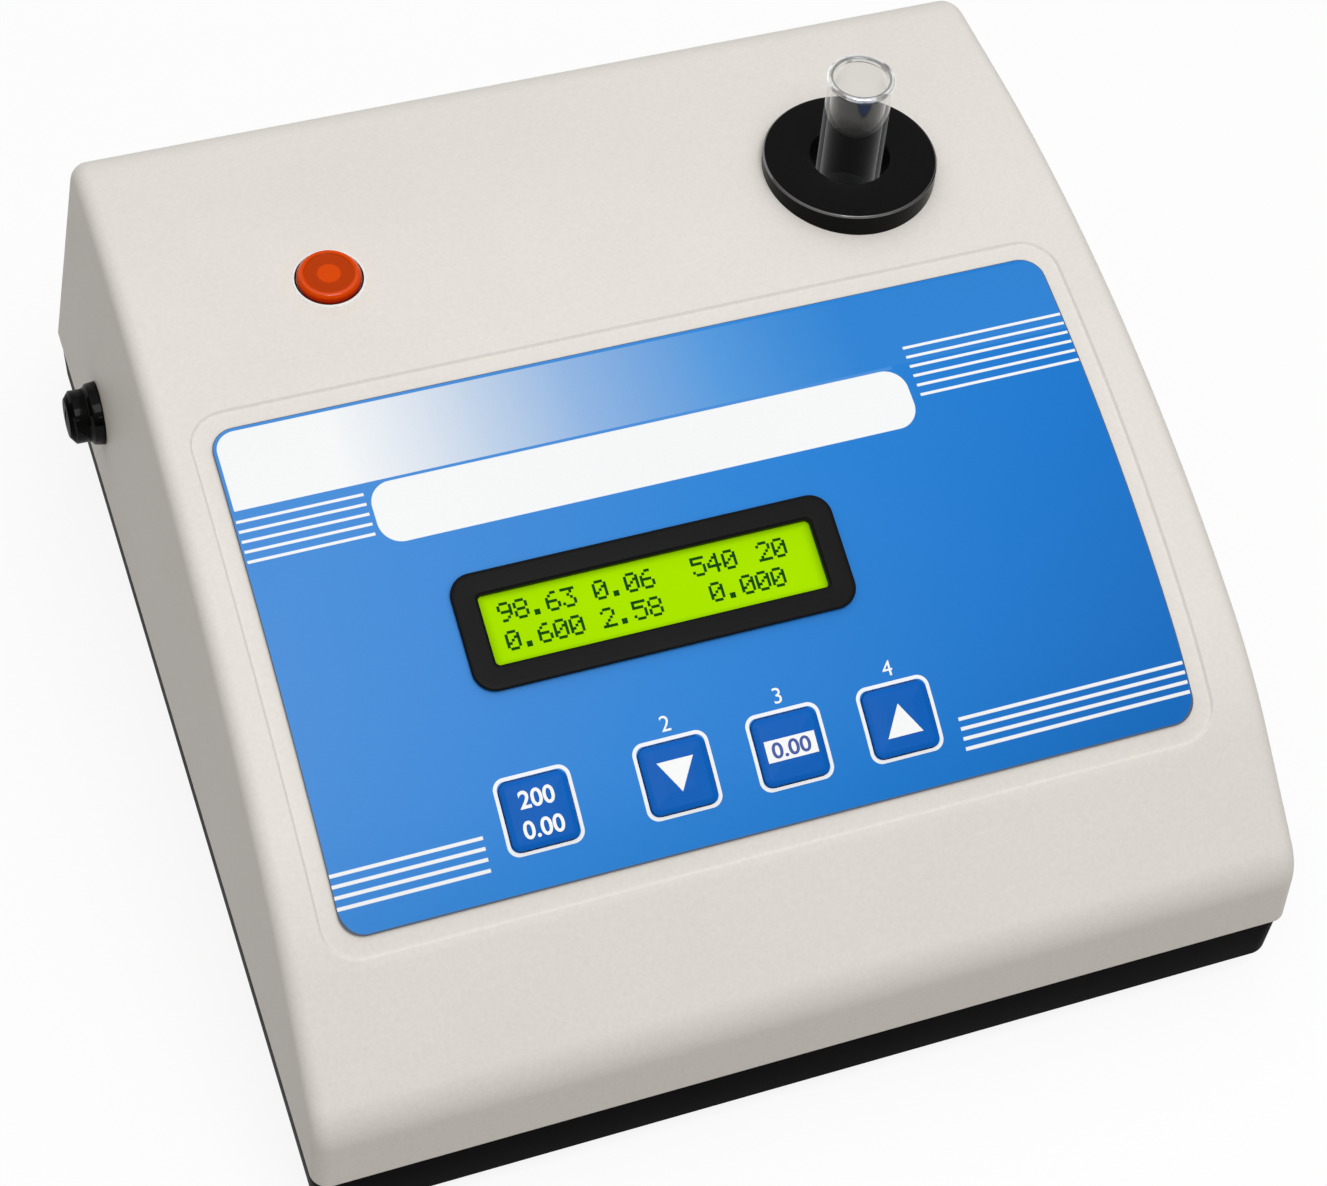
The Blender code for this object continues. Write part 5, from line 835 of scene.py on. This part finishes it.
# Tray: the black lower half, a tapered moulding with a rounded foot edge, which the case's seam sits on. Its
# tongue stands up inside the case. Four round rubber feet are stuck under it, and four screws hold the case.
FOOT_INSET, SCREW_INSET, SCREW_FRONT, SCREW_REAR = mm(32, 16, 20, 45)
TONGUE_BAND, TONGUE_SHIFT = mm(12, 1.4)
CORNERS = [("%s_%s" % (end, hand), side_x, side_y) for end, side_y in (("front", -1), ("rear", 1))
           for hand, side_x in (("left", -1), ("right", 1))]
tray_black = moulded("tray_plastic", (0.0022, 0.0022, 0.0024), 0.5, 1000, 0.03, 0.3, 0.01)
tray_line = eased((120, 6.0), (0.7, 6.0, 0.6), (0.45, 21.0, 0.25), (1.6, 21.0), (1.6, 21.7), (3.5, 21.7),
                  (3.5, 25.6, 0.3), (5.1, 25.6, 0.3), (5.2, 8.6, 1), (120, 8.6))
tray_points, tray_faces = pressed(tray_line, CASE_WIDTH / 2, CASE_DEPTH / 2, 6.5 * MM, middle=(CASE_X, 0), steps=12)
tongue = (tray_points[..., 2] > SEAM) & (tray_points[..., 1] > CASE_DEPTH / 2 - TONGUE_BAND)
tray_points[..., 1] -= np.where(tongue, TONGUE_SHIFT, 0)
tray = add("tray", (tray_points, tray_faces), None, tray_black, "case", "tray", ["base_tray"])
steel = blended(new_finish("steel").grain(700, 4.0, 0.65), (0.48, 0.48, 0.49), grey(0.70), 0.2, 0.2, 0.006,
                Metallic=1.0)
rubber = moulded("foot_rubber", grey(0.025), 0.8, 1500, 0.02, 0.3)
foot_line = eased((0, 0.25), (5, 0.25, 1), (5.6, 0.02, 0.3), (7.6, 0.02, 0.4), (8, 5.7, 0.2), (0, 5.9))
screw_line = eased((0, 6.3), (2.6, 6.3, 0.2), (3.0, 6.7, 0.3), (3.0, 8.3, 0.1), (1.5, 8.3), (1.5, 34.5), (0, 34.5))


def crossed(screw, spot, turn, cut_line, half_length, half_width):
    """Cut a cross for a driver into a screw's head: the same slot at a turn and a quarter turn further."""
    for angle in (turn, turn + math.pi / 2):
        slot = pressed(cut_line, half_length * MM, half_width * MM, 0.1 * MM)
        bored_through("driver_cross", screw, slot, spot @ placed((0, 0, 0), (angle, "Z")))


for where, side_x, side_y in CORNERS:
    foot_spot = placed((CASE_X + side_x * (CASE_WIDTH / 2 - FOOT_INSET), side_y * (CASE_DEPTH / 2 - FOOT_INSET), 0))
    add("foot_%s_pad" % where, turned(foot_line, steps=64), foot_spot, rubber, "case", "rubber", ["foot_" + where])
for where, side_x, side_y in CORNERS:
    screw_y = FRONT_Y + SCREW_FRONT if side_y < 0 else -FRONT_Y - SCREW_REAR
    screw_spot = placed((CASE_X + side_x * (CASE_WIDTH / 2 - SCREW_INSET), screw_y, 0))
    bored_through("counterbore", tray, turned(eased((3.6, 5.0), (3.6, 8.4)), steps=48), screw_spot)
    screw = add("case_screw_%s_screw" % where, turned(screw_line, steps=48), screw_spot, steel, "case", "steel",
                ["case_screw_" + where])
    crossed(screw, screw_spot, 0, eased((0, 5.5), (0, 7.2)), 1.7, 0.4)

# Mains inlet: a black three-pin socket in the sloping rear wall. It is moulded with its flange, which lies
# against the outside and is held by two cross-head screws.
PINS = ((-7, -2), (7, -2), (0, 2))
SCREW_OUT, SCREW_TURN = 20 * MM, 0.3
rear_y = -FRONT_Y - rear_slant * (REAR_HEIGHT - SEAM)


def on_rear(x):
    """A place on the rear wall: Z points out of it and Y up it."""
    return placed((CASE_X + x, rear_y, REAR_HEIGHT), (REAR_DRAFT - math.pi / 2, "X"), (math.pi, "Z"))


inlet_spot, switch_spot = on_rear(INLET_X), on_rear(SWITCH_X)
inlet_black = moulded("inlet_plastic", grey(0.012), 0.45, 1200, 0.02, 0.25)
inlet_line = eased((24.9, -20), (10.5, -20, 0.5), (10.5, 0.1), (0, 0.1, 0.2), (0, 3.3, 0.8), (12.8, 3.3, 0.6),
                   (12.8, -14.7, 0.3), (24.9, -14.7))
inlet_form = pressed(inlet_line, *mm(25, 12, 3), narrow=((0.6, 9.9, 10.5, 12.8, 24.9), (0.6, 1.1, 1.5, 3.7, 11.9)))
inlet = add("inlet", inlet_form, inlet_spot, inlet_black, "case", "black_plastic", ["mains_inlet"])
pin_line = eased((1, -14.8), (0, -14.8), (0, -3.7, 0.4), (0.95, -3.7))
for number, pin in enumerate(PINS, start=1):
    pin_form = pressed(pin_line, *mm(1, 2, 0.25), middle=mm(*pin))
    add("inlet_pin_%d" % number, pin_form, inlet_spot, steel, "case", "steel")
head_line = eased((0, -5.7), (1.5, -5.7, 0.3), (1.5, 3.35), (2.8, 3.35, 0.2), (2.75, 4.3, 0.9), (0, 5.1))
for name, side in (("inlet_screw_right", -1), ("inlet_screw_left", 1)):
    head_spot = inlet_spot @ placed((side * SCREW_OUT, 0, 0))
    bored_through("screw_seat", inlet, turned(eased((1.8, -2), (1.8, 5)), steps=32), head_spot)
    head = add(name + "_head", turned(head_line, steps=48), head_spot, steel, "case", "steel", [name])
    crossed(head, head_spot, SCREW_TURN, eased((0, 4.2), (0, 6)), 1.6, 0.35)

# Power switch beside it: a moulded black frame, snapped into the wall, and a rocker on a pivot in it, whose
# dished face is marked for on and off.
ROCKER_HALF, ROCKER_TOP, DISH, MARK_OUT = 6.5, 1.0, 0.95, 4.2
switch_line = eased((10.4, -15), (1.6, -15, 0.3), (1.6, 0.1), (0, 0.1, 0.1), (0, 2.3, 0.7), (3.2, 2.3, 0.5),
                    (3.2, -6.7), (10.4, -6.7))
switch_form = pressed(switch_line, *mm(10.5, 7.5, 1.2), narrow=((0, 3.2, 10.4), (0, 3.2, 7.4)))
add("switch_collar", switch_form, switch_spot, inlet_black, "case", "black_plastic", ["switch_frame"])
rocker_spot = switch_spot @ placed((0, 0, 0.3 * MM), (math.radians(8), "Y"))
rocker_face = np.stack([np.linspace(1, 6.4, 16), np.full(16, ROCKER_TOP)], 1) * MM
rocker_line = np.concatenate([eased((6.4, -3), (0, -3, 0.2), (0, ROCKER_TOP, 0.45), (0.8, ROCKER_TOP)), rocker_face])
rocker_points, rocker_faces = pressed(rocker_line, ROCKER_HALF * MM, 3.9 * MM, 0.6 * MM,
                                      narrow=((0, 1, 6.4), (0, 1, 3.8)), steps=6)
dished = (rocker_points[..., 0] / (ROCKER_HALF * MM)) ** 2 * DISH * MM
rocker_points[..., 2] += np.where(rocker_points[..., 2] > 0.2 * MM, dished, 0)
rocker_black = moulded("rocker_plastic", grey(0.01), 0.3, 900, 0.01, 0.3, 0.35)
add("rocker", (rocker_points, rocker_faces), rocker_spot, rocker_black, "switch_rocker", "gloss_black",
    ["switch_rocker"])
mark_height = (ROCKER_TOP + (MARK_OUT / ROCKER_HALF) ** 2 * DISH) * MM
mark_tilt = math.atan(2 * MARK_OUT * DISH / ROCKER_HALF ** 2)
for name, text, side in (("rocker_on_mark", "I", -1), ("rocker_off_mark", "0", 1)):
    mark_spot = rocker_spot @ placed((side * MARK_OUT * MM, 0, mark_height), (-side * mark_tilt, "Y"),
                                     (math.pi / 2, "Z"))
    figures(name, text, 3.0 * MM, (0, 0, 0.1 * MM), white_ink, "switch_rocker", "gloss_black", mark_spot, 0.01)

# Fuse: a glass cartridge between two plated steel ends, with its wire inside. It is held by the cap and
# leaves the holder with it.
FUSE_TOP, FUSE_LENGTH, FUSE_END = -0.1, 20, 5
end_line = eased((0, -FUSE_END), (2.6, -FUSE_END, 0.3), (2.6, 0, 0.3), (0, 0), lift=FUSE_TOP)
for name, drop in (("fuse_end_outer", 0), ("fuse_end_inner", FUSE_LENGTH - FUSE_END)):
    add(name, turned(end_line - (0, drop * MM), steps=48), fuse_place, steel, "fuse", "steel")
fuse_glass = eased((2.35, -15.2), (2.5, -15.2), (2.5, -4.8), (2.1, -4.8), (2.1, -15.2), (2.35, -15.2), lift=FUSE_TOP)
# The fuse's glass takes the tube's finish, with its faint painted glow.
add("fuse_tube", turned(fuse_glass, steps=48), fuse_place, glass_finish, "fuse", "clear_glass", ["fuse"])
wire_line = eased((0, -15.1), (0.12, -15.1), (0.12, -4.9), (0, -4.9), lift=FUSE_TOP)
add("fuse_wire", turned(wire_line, steps=12), fuse_place, steel, "fuse", "steel")

# Inside the case: boards, transformer, lamp, filter wheel and detector keep the solids of the model, each in
# the finish of its own stuff.
FILTER_TINTS = ((0.30, 0.02, 0.55), (0.03, 0.10, 0.75), (0.01, 0.45, 0.40), (0.10, 0.55, 0.04), (0.80, 0.45, 0.01),
                (0.75, 0.03, 0.01))


def dress(finish, *names):
    """Give CAD nodes a finish in every one of their material slots."""
    for name in names:
        for slot in bpy.data.objects[name].material_slots:
            slot.material = finish


def cells(place, feature, scale, randomness):
    """Voronoi cells over a place: the distance to the nearest cell's edge or centre."""
    return place.node("TexVoronoi", {"feature": feature}, {"Vector": place, "Scale": scale, "Randomness": randomness})


def bands(place, axis, scale, distortion):
    """Waves across an axis: their spacing is 0.314 m over the scale."""
    return place.node("TexWave", {"bands_direction": axis}, {"Vector": place, "Scale": scale, "Distortion": distortion})


board_place = new_finish("circuit_board")
tracks = cells(board_place, "DISTANCE_TO_EDGE", 220, 0.6).step(0.10, 0.04)
pads = cells(board_place, "F1", 260, 0.2).step(0.24, 0.18)
board_colour = pads.choose(tracks.choose((0.012, 0.11, 0.035), (0.03, 0.19, 0.06)), (0.72, 0.70, 0.62))
board_finish = finished(board_place, board_colour, 0.4 - pads * 0.12, tracks.over(pads), 0.03, Metallic=pads)
copper_finish = blended(bands(new_finish("copper_winding"), "Z", 450, 0.3), (0.42, 0.15, 0.06), (0.80, 0.38, 0.18),
                        0.4, -0.1, 0.15, Metallic=1.0)
core_finish = blended(bands(new_finish("core_laminations"), "Y", 500, 0.2), (0.16, 0.16, 0.17), (0.45, 0.45, 0.46),
                      0.35, 0.15, 0.08, Metallic=0.9)
aluminium_place = new_finish("aluminium")
brushed = aluminium_place.node("Mapping", {}, {"Vector": aluminium_place, "Scale": (1, 12, 12)}).grain(300, 4.0, 0.6)
aluminium_finish = blended(brushed, (0.55, 0.56, 0.57), (0.80, 0.81, 0.82), 0.25, 0.25, 0.01, Metallic=1.0)
dress(board_finish, "main_board", "key_board", "lcd_board", "detector_board")
dress(copper_finish, "transformer_coil")
dress(core_finish, "transformer_core")
dress(aluminium_finish, "optical_bench", "filter_wheel")
dress(steel, "filter_motor", "filter_shaft")
dress(moulded("inner_plastic", (0.03, 0.03, 0.032), 0.5, 900, 0.03, 0.2), "cuvette_well", "lamp_body",
      "lamp_nut", "fuse_holder_nut", "lamp_socket", "photodiode", *("tact_switch_%d" % n for n in range(1, 5)))
dress(moulded("white_diffuser", (0.86, 0.86, 0.84), 0.45, 900, 0.01, 0.05), "lcd_backlight")
# These take the tube's glass finish, with its faint painted glow.
dress(glass_finish, "condenser_lens", "source_lamp")
for number, tint in enumerate(FILTER_TINTS, start=1):
    dim = new_finish("filter_glass_%d" % number).grain(400)
    dress(blended(dim, tuple(0.8 * part for part in tint), tint, 0.05, 0.08, Coat_Weight=0.4), "filter_%d" % number)
